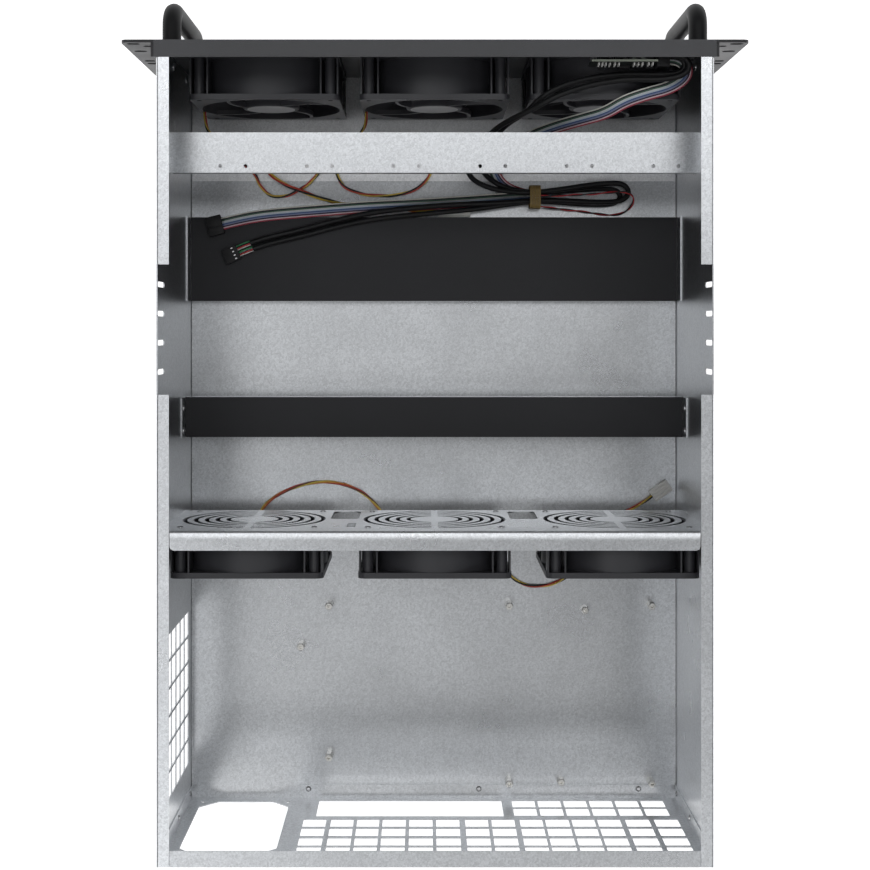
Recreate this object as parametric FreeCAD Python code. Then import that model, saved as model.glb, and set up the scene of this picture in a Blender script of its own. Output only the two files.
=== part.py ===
"""An open 4U rackmount server case, empty but for its fans, front controls and wiring.

Frame: millimetres, +Z up, front towards -Y, origin at the centre of the underside.
"""

import FreeCAD, Part
import math
import os

from FreeCAD import Vector

# ---------------------------------------------------------------- driving dimensions
# case shell
case_width = 428.3
case_depth = 635.0
case_height = 177.0
sheet = 1.0
bend_inside = 1.0
rim_flange = 10.0

# flats that stand for round forms on pieces that repeat many times
fan_sides = 12
hub_sides = 8
guard_sides = 12
handle_sides = 10
small_sides = 6
post_sides = 4
cable_sides = 5
lead_sides = 4
bend_step = 0.8

# how far a cutting tool passes a face, and how far a fused piece reaches into its neighbour
past = 1.0
fused_reach = 2.0

# front panel and what is fixed to it
panel_overhang = 1.85
face_clearance = 0.3
panel_sheet = 1.2
panel_lip = 13.3
panel_joggle = 0.1
grille_slot_height = 9.0
grille_slot_pitch = 14.0
grille_rows = 7
ear_width = 25.3
ear_sheet = 2.3
ear_leg_depth = 13.0
ear_corner = 5.0
rack_slot_width = 10.3
rack_slot_height = 6.8
rack_slot_inset = 8.75
rack_slot_drops = (6.35, 38.1, 139.7, 171.45)
ear_screw_z = (30.0, 99.0)
ear_screw_edge = 5.0
handle_bar = 14.6
handle_reach = 35.0
handle_inset = 10.2
handle_top_drop = 25.0
handle_legs_apart = 125.0
handle_bend = 14.0

# wall slots beside the open rim, and the side vent near the rear
rim_gap_behind_front = 172.5
rim_gap_length = 100.0
wall_slot_width = 4.3
wall_slot_top_drop = 3.2
wall_slot_length = 31.0
wall_slot_pitch = 22.6
wall_slot_first_step = 15.0
wall_slot_count = 4
side_vent_ahead_of_rear = 167.5
side_vent_pitch = 22.35
side_vent_cell = 20.0
side_vent_first_z = 18.4
side_vent_columns = 6
side_vent_rows = 6

# card beam across the front half
beam_behind_front = 64.1
beam_width = 32.4
beam_top_z = 120.0
beam_flange = 8.0
beam_tab = 15.0
beam_hole = 3.0
beam_hole_pair = 20.32
beam_hole_pitch = 69.6
beam_hole_wall_gap = 51.05
beam_hole_pairs = 6
beam_hole_edge = 5.3
beam_flange_wall_gap = 2.0
beam_tab_inset = 3.0
beam_screw_drop = 8.5

# plates and risers on the floor
base_plate_beam_gap = 28.0
base_plate_sheet = 1.2
front_riser_behind_front = 124.6
front_riser_width = 73.1
front_riser_top_z = 10.8
front_riser_end = 19.0
front_riser_leg_gap = 3.0
rear_riser_ahead_of_fan_wall = 97.4
rear_riser_width = 34.1
rear_riser_top_z = 41.8
rear_riser_skirt = 12.0
rear_riser_tab = 18.0
rear_riser_skirt_gap = 2.0
rear_riser_screw_drop = 8.0
rear_riser_screw_edges = (9.0, 6.0)
pad_thickness = 2.0
pad_end_gap = 0.3

# fan wall and fans
fan_wall_ahead_of_rear = 257.5
fan_wall_sheet = 1.2
fan_wall_lip = 14.6
fan_wall_lip_corner = 5.0
fan_wall_bottom_z = 35.0
fan_wall_lip_gap = 0.5
fan_wall_end_flange = 12.0
cable_window_width = 23.0
cable_window_height = 52.0
cable_window_z = 45.0
cable_window_corner = 5.0
fan_size = 120.0
fan_depth = 38.0
fan_flange = 4.5
fan_corner = 6.0
fan_bore = 114.0
fan_barrel = 119.0
fan_screw_pitch = 105.0
fan_post = 9.0
fan_hub = 47.0
fan_hub_base = 6.0
fan_strut_width = 5.0
fan_strut_depth = 4.0
rotor_hub = 44.0
rotor_front_gap = 4.0
rotor_rear_gap = 1.0
rotor_tip_gap = 1.5
rotor_blades = 5
blade_thickness = 1.8
blade_root_depth = 14.0
blade_root_slant = 8.0
blade_root_camber = 1.5
blade_tip_gap = 3.0
spindle_end_gap = 1.0
shaft = 4.0
shaft_gap = 0.05
front_fan_wall_gap = 17.15
front_fan_centre_z = 71.5
middle_fan_wall_gap = 6.15
middle_fan_centre_z = 97.5
guard_outer = 116.0
guard_centre = 39.0
guard_bar = 3.0
guard_rings = 3
guard_spoke = 6.0
screw_head = 7.0
screw_head_height = 2.2

# rear panel
rear_flange = 12.5
rear_floor_lip_gap = 7.5
io_wall_gap = 154.25
io_width = 158.75
io_height = 44.45
io_bottom_z = 10.0
low_grid_wall_gap = 13.45
low_grid_cell = 19.8
low_grid_pitch = 22.4
low_grid_columns = 6
low_grid_rows = ((10.0, 29.5), (32.3, 53.0))
high_grid_rows = ((62.0, 82.0), (85.5, 105.5), (109.5, 129.0), (131.5, 151.0))
high_grid_cells = (
    (8.75, 20.2), (32.95, 20.2), (57.25, 19.3), (78.85, 19.2), (100.45, 19.7),
    (122.55, 18.9), (145.95, 19.3), (168.15, 19.1), (192.15, 19.5), (214.55, 19.4),
    (236.95, 19.4), (259.05, 18.6), (280.55, 19.0), (303.55, 19.1),
)
psu_wall_gap = 10.65
psu_width = 77.0
psu_bottom_z = 13.0
psu_height = 138.0
psu_corner = 15.0
psu_hole = 4.0
psu_hole_inset = 1.5
rivet_head = 5.0
rivet_height = 1.2
floor_rivet_wall_gaps = (33.25, 173.55, 323.25)
floor_rivet_edge = 8.75
wall_rivet_edge = 7.25
wall_rivet_z = (11.5, 78.0, 150.0)

# board standoffs
standoff_flats = 6.0
standoff_height = 13.0
short_standoff_height = 7.5
standoff_thread = 2.6
standoff_thread_depth = 6.0
board_wall_gaps = (304.75, 147.25, 22.79)
board_rear_gap = 16.2
board_first_gap = 39.06
board_middle_gap = 171.1
board_front_gap = 243.53
short_standoff_places = ((101.55, 15.9), (80.65, 166.5), (329.75, 134.5))

# front control board, between the panel and the right front fan's top
control_board_wall_gap = 40.35
control_board_width = 51.2
control_board_drop = 37.0
control_board_height = 25.0
control_board_sheet = 1.6
control_board_gap = 12.0
port_width = 13.2
port_height = 5.8
port_clearance = 0.3
port_rise = 7.0
port_shell = 0.5
port_steps = (12.8, 28.3)
button_rise = 18.0
button_steps = {"power_button": 40.8, "reset_button": 28.8}
button_sizes = {"power_button": 9.0, "reset_button": 4.0}
button_clearance = 0.3
button_proud = 2.0
button_travel = 0.5
lens_size = 3.0
lens_steps = (17.8, 10.8)
switch_body = 6.0
board_post = 5.0
board_post_steps = (2.8, 47.8)
board_post_rise = 3.5
button_collar_rim = 1.0
button_collar_depth = 1.2
button_stem = 3.0
button_stem_gap = 0.1
lens_proud = 0.4
tongue_thickness = 1.6
tongue_inset = 1.0
tongue_rise = 0.2
port_pocket_end = 2.0

# wiring
usb_cable = 4.6
ribbon_width = 10.5
ribbon_thickness = 1.2
lead = 3.0
pair_lead = 2.2
tie_band = 0.8
tie_corner = (-92.8, -220.6)
tie_size = (9.5, 20.0, 19.5)
usb_plug_entry = (170.0, -163.0)
usb_plug_heading = 25.0
usb_plug_size = (14.0, 13.0, 5.6)
usb_cable_spread = 5.6
ribbon_plug_entry = (184.0, -187.0)
ribbon_plug_heading = 14.0
ribbon_plug_size = (13.5, 17.0, 6.0)
front_plug_run = 16.0
middle_plug_entry = (-191.6, 51.2)
middle_plug_heading = 215.0
middle_plug_size = (18.0, 11.0, 8.0)
middle_plug_run = 14.0
power_plug_entry = (-4.0, -198.0)
power_plug_length = 28.0
power_plug_height = 6.0
power_plug_front = 3.0
power_plug_riser_gap = 0.3
lead_plug_size = (14.0, 10.0, 7.0)
lead_plug_y = -243.0
header_length = 10.2
header_height = 20.5
header_front_rim = 3.5
header_rear_rim = 3.0
header_cable_inset = 4.7

# ---------------------------------------------------------------- derived places
half_width = case_width / 2
wall_x = half_width - sheet
front_y = -case_depth / 2
rear_y = case_depth / 2
panel_width = case_width + 2 * panel_overhang
panel_back_y = front_y + panel_sheet
rack_slot_x = panel_width / 2 + ear_width - rack_slot_inset
handle_centre_x = panel_width / 2 - handle_inset
handle_top_z = case_height - handle_top_drop
floor_z = sheet
rim_gap_start = front_y + rim_gap_behind_front
rim_gap_end = rim_gap_start + rim_gap_length
wall_slot_first_y = rim_gap_start + wall_slot_first_step
side_vent_first_y = rear_y - side_vent_ahead_of_rear
beam_front_y = front_y + beam_behind_front
beam_rear_y = beam_front_y + beam_width
beam_hole_first_x = wall_x - beam_hole_wall_gap
base_plate_rear_y = beam_front_y + base_plate_beam_gap
base_top_z = floor_z + base_plate_sheet
front_riser_y = front_y + front_riser_behind_front
front_pad_z = front_riser_top_z + pad_thickness
front_fan_y = panel_back_y
front_fan_rear_y = front_fan_y + fan_depth
fan_wall_y = rear_y - fan_wall_ahead_of_rear
rear_riser_y = fan_wall_y - rear_riser_ahead_of_fan_wall
middle_fan_bottom_z = middle_fan_centre_z - fan_size / 2
middle_fan_y = fan_wall_y + fan_wall_sheet
fan_wall_rear_y = middle_fan_y
rear_panel_y = rear_y - sheet
front_fan_pitch = wall_x - front_fan_wall_gap - fan_size / 2
middle_fan_pitch = wall_x - middle_fan_wall_gap - fan_size / 2
front_fan_centres_x = (front_fan_pitch, 0.0, -front_fan_pitch)
middle_fan_centres_x = (middle_fan_pitch, 0.0, -middle_fan_pitch)
io_left_x = io_wall_gap - wall_x
low_grid_right_x = low_grid_wall_gap - wall_x
psu_left_x = wall_x - psu_wall_gap - psu_width
board_columns_x = [gap - wall_x for gap in board_wall_gaps]
board_rear_y, board_first_y, board_middle_y, board_front_y = [
    rear_y - gap for gap in (board_rear_gap, board_first_gap, board_middle_gap, board_front_gap)]
board_front_face_y = panel_back_y + control_board_gap
board_rear_face_y = board_front_face_y + control_board_sheet
switch_face_y = board_front_face_y - control_board_gap / 2
control_board_left_x = control_board_wall_gap - wall_x
control_board_bottom_z = case_height - control_board_drop
port_z = control_board_bottom_z + port_rise
button_z = control_board_bottom_z + button_rise
port_centres_x = [control_board_left_x + step for step in port_steps]
button_centres_x = {name: control_board_left_x + step for name, step in button_steps.items()}
lens_centres_x = [control_board_left_x + step for step in lens_steps]
board_post_centres_x = [control_board_left_x + step for step in board_post_steps]
side_names = {1: "left", -1: "right"}
fan_names = ("left", "centre", "right")

os.makedirs("parts", exist_ok=True)


# ---------------------------------------------------------------- small helpers
def box(x0, x1, y0, y1, z0, z1):
    """A block between two corners."""
    return Part.makeBox(x1 - x0, y1 - y0, z1 - z0, Vector(x0, y0, z0))


def prism_y(x, y0, y1, z, across, sides):
    """A bar of regular section along Y; across is its width between two flats."""
    radius = across / 2 / math.cos(math.pi / sides)
    turn = math.pi / sides
    corners = [
        Vector(x + radius * math.cos(turn + 2 * math.pi * i / sides), y0,
               z + radius * math.sin(turn + 2 * math.pi * i / sides))
        for i in range(sides)
    ]
    return Part.Face(Part.makePolygon(corners + corners[:1])).extrude(Vector(0, y1 - y0, 0))


def round_inside_y(x, y0, y1, z, diameter, sides):
    """A bar along Y whose edges lie on the circle of this diameter."""
    return prism_y(x, y0, y1, z, diameter * math.cos(math.pi / sides), sides)


def prism_z(x, y, z0, z1, across, sides):
    """An upright bar of regular section."""
    bar = prism_y(0, 0, z1 - z0, 0, across, sides)
    bar.rotate(Vector(0, 0, 0), Vector(1, 0, 0), 90)
    bar.translate(Vector(x, y, z0))
    return bar


def rounded_profile(x0, x1, z0, z1, radius, y):
    """A rectangle with four rounded corners, in the plane at y."""
    wires = []
    corners = ((x1 - radius, z1 - radius, 0), (x0 + radius, z1 - radius, 90),
               (x0 + radius, z0 + radius, 180), (x1 - radius, z0 + radius, 270))
    ends = []
    for cx, cz, start in corners:
        points = [
            Vector(cx + radius * math.cos(math.radians(start + a)), y,
                   cz + radius * math.sin(math.radians(start + a)))
            for a in (0, 45, 90)
        ]
        wires.append(Part.Arc(*points).toShape())
        ends.append((points[0], points[2]))
    for i in range(4):
        wires.append(Part.LineSegment(ends[i][1], ends[(i + 1) % 4][0]).toShape())
    return Part.Wire(Part.__sortEdges__(wires))


def rounded_bar_y(x0, x1, y0, y1, z0, z1, radius):
    """A bar along Y with a rounded rectangular section."""
    return Part.Face(rounded_profile(x0, x1, z0, z1, radius, y0)).extrude(Vector(0, y1 - y0, 0))


def chamfered_bar_y(x0, x1, y0, y1, z0, z1, cut):
    """A bar along Y with its four long edges cut at 45 degrees."""
    corners = [
        (x0 + cut, z0), (x1 - cut, z0), (x1, z0 + cut), (x1, z1 - cut),
        (x1 - cut, z1), (x0 + cut, z1), (x0, z1 - cut), (x0, z0 + cut),
    ]
    points = [Vector(x, y0, z) for x, z in corners]
    return Part.Face(Part.makePolygon(points + points[:1])).extrude(Vector(0, y1 - y0, 0))


def slot_outline(length, width):
    """Points (along, across) of a slot with eased ends, centred, three flats to each end."""
    radius = width / 2
    reach = length / 2 - radius
    end = [(reach + radius * math.cos(math.radians(a)), radius * math.sin(math.radians(a)))
           for a in (-90, -30, 30, 90)]
    return end + [(-along, -across) for along, across in end]


def slot_x(x0, x1, y, z0, z1, width):
    """An upright slot with eased ends, cut through along X."""
    middle = (z0 + z1) / 2
    points = [Vector(x0, y + across, middle + along) for along, across in slot_outline(z1 - z0, width)]
    return Part.Face(Part.makePolygon(points + points[:1])).extrude(Vector(x1 - x0, 0, 0))


def slot_y(x, y0, y1, z, length, height):
    """A level slot with round ends, cut through along Y."""
    radius = height / 2
    reach = length / 2 - radius
    ends = [Part.makeCylinder(radius, y1 - y0, Vector(x + along, y0, z), Vector(0, 1, 0))
            for along in (-reach, reach)]
    return fuse([box(x - reach, x + reach, y0, y1, z - radius, z + radius)] + ends)


def mirror_x(shape):
    """The same shape on the other side of the case."""
    return shape.mirror(Vector(0, 0, 0), Vector(1, 0, 0))


def fuse(shapes):
    """One solid from shapes that touch or overlap."""
    whole = shapes[0].fuse(shapes[1:]) if len(shapes) > 1 else shapes[0]
    whole = whole.removeSplitter()
    return whole.Solids[0] if len(whole.Solids) == 1 else whole


def cut(shape, tools):
    """shape less all the tools."""
    less = shape.cut(tools)
    return less.Solids[0] if len(less.Solids) == 1 else less


def save(name, shape):
    """Writes one node and reports what it holds."""
    shape.exportStep("parts/" + name + ".step")
    print(f"{name}: {len(shape.Solids)} solid(s), {shape.Volume / 1000:.2f} cm3, valid {shape.isValid()}")


def cord_radii(points):
    """The largest arcs that a cord's runs allow at its corners."""
    radii = []
    for before, at, after in zip(points, points[1:], points[2:]):
        first, second = Vector(*at) - Vector(*before), Vector(*after) - Vector(*at)
        radii.append(0.45 * min(first.Length, second.Length) / math.tan(first.getAngle(second) / 2))
    return radii


def bent_line(points, radii):
    """Stations (point, direction, length so far) along straight runs joined by tangent arcs."""
    corners = [Vector(*p) for p in points]
    ahead = (corners[1] - corners[0]).normalize()
    stations = [(corners[0], ahead, 0.0)]
    for corner, after, radius in zip(corners[1:], corners[2:], radii):
        at, ahead, length = stations[-1]
        leaving = (after - corner).normalize()
        turn = ahead.getAngle(leaving)
        reach = radius * math.tan(turn / 2)
        start = corner - ahead * reach
        length += (start - at).Length
        stations.append((start, ahead, length))
        axis = ahead.cross(leaving).normalize()
        inward = axis.cross(ahead)
        steps = max(1, math.ceil(turn / bend_step))
        for step in range(1, steps + 1):
            angle = turn * step / steps
            spot = start + ahead * (radius * math.sin(angle)) + inward * (radius * (1 - math.cos(angle)))
            along = ahead * math.cos(angle) + inward * math.sin(angle)
            stations.append((spot, along, length + radius * angle))
    at, ahead, length = stations[-1]
    stations.append((corners[-1], ahead, length + (corners[-1] - at).Length))
    return stations


def skin(rings):
    """A closed solid through rings of corners, with flat faces, or triangles where four don't lie flat."""
    count = len(rings[0])
    faces = [Part.Face(Part.makePolygon(ring + ring[:1])) for ring in (rings[0], rings[-1])]
    for low, high in zip(rings, rings[1:]):
        for i in range(count):
            j = (i + 1) % count
            a, b, c, d = low[i], low[j], high[j], high[i]
            normal = (b - a).cross(d - a).normalize()
            flat = abs(normal.dot(c - a)) < 1e-6
            loops = [[a, b, c, d]] if flat else [[a, b, c], [a, c, d]]
            faces += [Part.Face(Part.makePolygon(loop + loop[:1])) for loop in loops]
    solid = Part.makeSolid(Part.makeShell(faces))
    if solid.Volume < 0:
        solid.reverse()
    return solid


def tube(points, radii, diameter, sides):
    """A round bar or cord, drawn with flats, along runs and arcs; its area is the true one."""
    stations = bent_line(points, radii)
    area = math.pi * diameter ** 2 / 4
    radius = math.sqrt(2 * area / sides / math.sin(2 * math.pi / sides))
    ahead = stations[0][1]
    level = ahead.cross(Vector(0, 0, 1))
    across = (level if level.Length > 0.3 else Vector(1, 0, 0)).normalize()
    rings = []
    for at, along, _ in stations:
        turn = FreeCAD.Rotation(ahead, along)
        across = turn.multVec(across)
        up = across.cross(along)
        angles = [2 * math.pi * (i + 0.5) / sides for i in range(sides)]
        rings.append([at + across * (radius * math.cos(a)) + up * (radius * math.sin(a)) for a in angles])
        ahead = along
    return skin(rings)


# ---------------------------------------------------------------- case shell
def make_chassis_tray():
    """Floor, side walls and inward rim flanges, folded from one sheet."""
    start_y = panel_back_y
    outer = rounded_bar_y(-half_width, half_width, start_y, rear_y, 0, case_height,
                          bend_inside + sheet)
    inner = rounded_bar_y(-wall_x, wall_x, start_y, rear_y, floor_z, case_height - sheet, bend_inside)
    flange_x = half_width - rim_flange
    top_gap = box(-flange_x, flange_x, start_y, rear_y, case_height - 2 * sheet, case_height + past)
    tools = [inner, top_gap]
    for side in (1, -1):
        outer_edges = sorted((side * (flange_x - past), side * (half_width + past)))
        tools.append(box(outer_edges[0], outer_edges[1], rim_gap_start, rim_gap_end,
                         case_height - bend_inside - sheet, case_height + past))
        tools.append(box(outer_edges[0], outer_edges[1], start_y, front_y + panel_lip + panel_joggle,
                         case_height - panel_sheet - panel_joggle, case_height + past))
        wall_edges = sorted((side * (wall_x - past), side * (half_width + past)))
        slot_top = case_height - wall_slot_top_drop
        for i in range(wall_slot_count):
            tools.append(slot_x(wall_edges[0], wall_edges[1], wall_slot_first_y + i * wall_slot_pitch,
                                slot_top - wall_slot_length, slot_top, wall_slot_width))
    for column in range(side_vent_columns):
        for row in range(side_vent_rows):
            y = side_vent_first_y + column * side_vent_pitch
            z = side_vent_first_z + row * side_vent_pitch
            tools.append(box(wall_x - past, half_width + past, y, y + side_vent_cell, z, z + side_vent_cell))
    return cut(outer, tools)


def corner_reliefs(y0, y1, z_values):
    """Small blocks that clear the tray's inside bends at the given heights."""
    clear = bend_inside + 0.1
    blocks = []
    for z in z_values:
        for side in (1, -1):
            edges = sorted((side * (wall_x - clear), side * (wall_x + past)))
            blocks.append(box(edges[0], edges[1], y0, y1, z - clear, z + clear))
    return blocks


def make_rear_panel():
    """A pan inside the tray's rear end, with its flanges turned forward."""
    x = wall_x
    flange_x = half_width - rim_flange - fan_wall_lip_gap
    low, high = floor_z, case_height - sheet
    start = rear_y - rear_flange
    plate = box(-x, x, rear_panel_y, rear_y, low, high)
    lip = box(-flange_x, flange_x, start, rear_y, high, case_height)
    floor_lip = box(-x, psu_left_x - rear_floor_lip_gap, start, rear_panel_y, low, low + sheet)
    sides = [box(-x, -x + sheet, start, rear_panel_y, low + sheet, high),
             box(x - sheet, x, start, rear_panel_y, low + sheet, high)]
    through = (rear_panel_y - past, rear_y + past)
    tools = [box(io_left_x, io_left_x + io_width, *through, io_bottom_z, io_bottom_z + io_height)]
    for column in range(low_grid_columns):
        left = low_grid_right_x + column * low_grid_pitch
        for bottom, top in low_grid_rows:
            tools.append(box(left, left + low_grid_cell, *through, bottom, top))
    for gap, width in high_grid_cells:
        left = gap - wall_x
        for bottom, top in high_grid_rows:
            tools.append(box(left, left + width, *through, bottom, top))
    tools.append(chamfered_bar_y(psu_left_x, psu_left_x + psu_width, *through, psu_bottom_z,
                                 psu_bottom_z + psu_height, psu_corner))
    for hole_x in (psu_left_x + psu_hole_inset, psu_left_x + psu_width - psu_hole_inset):
        for hole_z in (psu_bottom_z + psu_hole_inset, psu_bottom_z + psu_height - psu_hole_inset):
            tools.append(Part.makeCylinder(psu_hole / 2, through[1] - through[0],
                                           Vector(hole_x, through[0], hole_z), Vector(0, 1, 0)))
    tools += corner_reliefs(start - past, rear_y + past, (low, high))
    return cut(fuse([plate, lip, floor_lip] + sides), tools)


def grille_slots(centre_x, centre_z, y0, y1):
    """Level slots whose ends follow the fan's round opening."""
    tools = []
    for row in range(grille_rows):
        rise = (row - (grille_rows - 1) / 2) * grille_slot_pitch
        half = math.sqrt((fan_bore / 2) ** 2 - (abs(rise) + grille_slot_height / 2) ** 2)
        tools.append(box(centre_x - half, centre_x + half, y0, y1,
                         centre_z + rise - grille_slot_height / 2,
                         centre_z + rise + grille_slot_height / 2))
    return tools


def make_front_panel():
    """The black front: face, top lip and two side flanges folded back."""
    half = panel_width / 2
    lip_y = front_y + panel_lip
    face = box(-half, half, front_y, panel_back_y, face_clearance, case_height)
    lip = box(-half, half, panel_back_y, lip_y, case_height - panel_sheet, case_height)
    sides = [box(-half, -half + panel_sheet, panel_back_y, lip_y, face_clearance, case_height - panel_sheet),
             box(half - panel_sheet, half, panel_back_y, lip_y, face_clearance, case_height - panel_sheet)]
    through = (front_y - past, panel_back_y + past)
    tools = []
    for centre_x in front_fan_centres_x:
        tools += grille_slots(centre_x, front_fan_centre_z, *through)
    for centre_x in port_centres_x:
        half_port = port_width / 2 + port_clearance
        tools.append(box(centre_x - half_port, centre_x + half_port, *through,
                         port_z - port_height / 2 - port_clearance,
                         port_z + port_height / 2 + port_clearance))
    for name, centre_x in button_centres_x.items():
        tools.append(prism_y(centre_x, *through, button_z, button_sizes[name] + 2 * button_clearance,
                             hub_sides))
    for centre_x in lens_centres_x:
        tools.append(prism_y(centre_x, *through, button_z, lens_size, small_sides))
    return cut(fuse([face, lip] + sides), tools)


def make_rack_ear(side):
    """An L bracket outside the front panel: a slotted face and a leg turned back."""
    inner, outer = panel_width / 2, panel_width / 2 + ear_width
    face = box(inner, outer, front_y, front_y + ear_sheet, face_clearance, case_height)
    rounded = [e for e in face.Edges
               if abs(e.BoundBox.XMin - outer) < 0.01 and e.BoundBox.YLength > 1]
    face = face.makeFillet(min(ear_corner, ear_width / 3), rounded)
    leg = box(inner, inner + ear_sheet, front_y + ear_sheet, front_y + ear_leg_depth,
              face_clearance, case_height - panel_sheet)
    tools = [slot_y(rack_slot_x, front_y - past, front_y + ear_sheet + past, case_height - drop,
                    rack_slot_width, rack_slot_height) for drop in rack_slot_drops]
    ear = cut(fuse([face, leg]), tools)
    return ear if side > 0 else mirror_x(ear)


def make_handle(side):
    """A round bar bent into a C, its two legs butting on the front panel."""
    grip_y = front_y - handle_reach + handle_bar / 2
    low_z = handle_top_z - handle_legs_apart
    x = side * handle_centre_x
    points = [(x, front_y, handle_top_z), (x, grip_y, handle_top_z), (x, grip_y, low_z), (x, front_y, low_z)]
    return tube(points, [handle_bend, handle_bend], handle_bar, handle_sides)


# ---------------------------------------------------------------- cross members and floor plates
def make_card_beam():
    """A channel across the case, open below, with end tabs on the side walls."""
    under = beam_top_z - sheet
    flange_x = wall_x - beam_flange_wall_gap
    parts = [
        box(-wall_x, wall_x, beam_front_y, beam_rear_y, under, beam_top_z),
        box(-flange_x, flange_x, beam_front_y, beam_front_y + sheet, under - beam_flange, under),
        box(-flange_x, flange_x, beam_rear_y - sheet, beam_rear_y, under - beam_flange, under),
    ]
    for side in (1, -1):
        edges = sorted((side * wall_x, side * (wall_x - sheet)))
        parts.append(box(edges[0], edges[1], beam_front_y + beam_tab_inset, beam_rear_y - beam_tab_inset,
                         under - beam_tab, under))
    tools = []
    for pair in range(beam_hole_pairs):
        centre = beam_hole_first_x - pair * beam_hole_pitch
        for x in (centre - beam_hole_pair / 2, centre + beam_hole_pair / 2):
            tools.append(prism_z(x, beam_rear_y - beam_hole_edge, under - sheet, beam_top_z + sheet,
                                 beam_hole, small_sides))
    return cut(fuse(parts), tools)


def make_front_base_plate():
    """A flat plate on the floor under the front fans and the beam."""
    return box(-wall_x + bend_inside, wall_x - bend_inside, panel_back_y, base_plate_rear_y,
               floor_z, base_top_z)


def make_front_riser_tray():
    """A low hat section across the floor, its ends turned up against the walls."""
    y0, y1 = front_riser_y, front_riser_y + front_riser_width
    top = front_riser_top_z
    leg_x = wall_x - front_riser_leg_gap
    parts = [box(-wall_x, wall_x, y0, y1, top - sheet, top)]
    for y in (y0, y1 - sheet):
        parts.append(box(-leg_x, leg_x, y, y + sheet, floor_z, top - sheet))
    for side in (1, -1):
        edges = sorted((side * wall_x, side * (wall_x - sheet)))
        parts.append(box(edges[0], edges[1], y0, y1, top, top + front_riser_end))
    return fuse(parts)


def make_rear_riser_rail():
    """A channel bridging the case at mid-depth, hung from the walls by its end tabs."""
    y0, y1 = rear_riser_y, rear_riser_y + rear_riser_width
    top = rear_riser_top_z
    skirt_x = wall_x - rear_riser_skirt_gap
    parts = [box(-wall_x, wall_x, y0, y1, top - sheet, top)]
    for y in (y0, y1 - sheet):
        parts.append(box(-skirt_x, skirt_x, y, y + sheet, top - rear_riser_skirt, top - sheet))
    for side in (1, -1):
        edges = sorted((side * wall_x, side * (wall_x - sheet)))
        parts.append(box(edges[0], edges[1], y0, y1, top, top + rear_riser_tab))
    return fuse(parts)


def make_pad(y0, width, z0):
    """A soft insulating strip glued along the top of a riser."""
    end = wall_x - sheet - pad_end_gap
    return box(-end, end, y0, y0 + width, z0, z0 + pad_thickness)


# ---------------------------------------------------------------- fan wall and fans
def guard_openings(centre_x, centre_z, y0, y1):
    """Ring-shaped slots of a punched finger guard, in four quarters."""
    slot = (guard_outer / 2 - guard_centre / 2 - (guard_rings - 1) * guard_bar) / guard_rings
    reach = guard_outer / 2 + past
    half = guard_spoke / 2
    cross = box(centre_x - reach, centre_x + reach, y0, y1, centre_z - half, centre_z + half).fuse(
        box(centre_x - half, centre_x + half, y0, y1, centre_z - reach, centre_z + reach))
    openings = []
    for ring in range(guard_rings):
        inner = guard_centre / 2 + ring * (slot + guard_bar)
        tall = round_inside_y(centre_x, y0, y1, centre_z, 2 * (inner + slot), guard_sides)
        core = round_inside_y(centre_x, y0, y1, centre_z, 2 * inner, guard_sides)
        openings.append(tall.cut(core).cut(cross))
    return openings


def make_fan_wall():
    """The partition that carries the middle fans, with a lip at the rim."""
    y0, y1 = fan_wall_y, fan_wall_rear_y
    top = case_height - sheet
    lip_x = half_width - rim_flange - fan_wall_lip_gap
    lip_top = case_height
    plate = box(-wall_x, wall_x, y0, y1, fan_wall_bottom_z, top)
    lip = box(-lip_x, lip_x, y0, y0 + fan_wall_lip, top, lip_top)
    corners = [e for e in lip.Edges
               if abs(e.BoundBox.YMax - (y0 + fan_wall_lip)) < 0.01 and e.BoundBox.ZLength > 0.5
               and e.BoundBox.YLength < 0.1]
    lip = lip.makeFillet(min(fan_wall_lip_corner, fan_wall_lip / 2), corners)
    parts = [plate, lip]
    for side in (1, -1):
        edges = sorted((side * wall_x, side * (wall_x - fan_wall_sheet)))
        parts.append(box(edges[0], edges[1], y1, y1 + fan_wall_end_flange, fan_wall_bottom_z, top - sheet))
    through = (y0 - past, y1 + past)
    tools = corner_reliefs(y0 - past, y1 + fan_wall_end_flange + past, (top,))
    for centre_x in middle_fan_centres_x:
        tools += guard_openings(centre_x, middle_fan_centre_z, *through)
    for side in (1, -1):
        centre = side * middle_fan_pitch / 2
        tools.append(rounded_bar_y(centre - cable_window_width / 2, centre + cable_window_width / 2,
                                   *through, cable_window_z, cable_window_z + cable_window_height,
                                   cable_window_corner))
    return cut(fuse(parts), tools)


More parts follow.
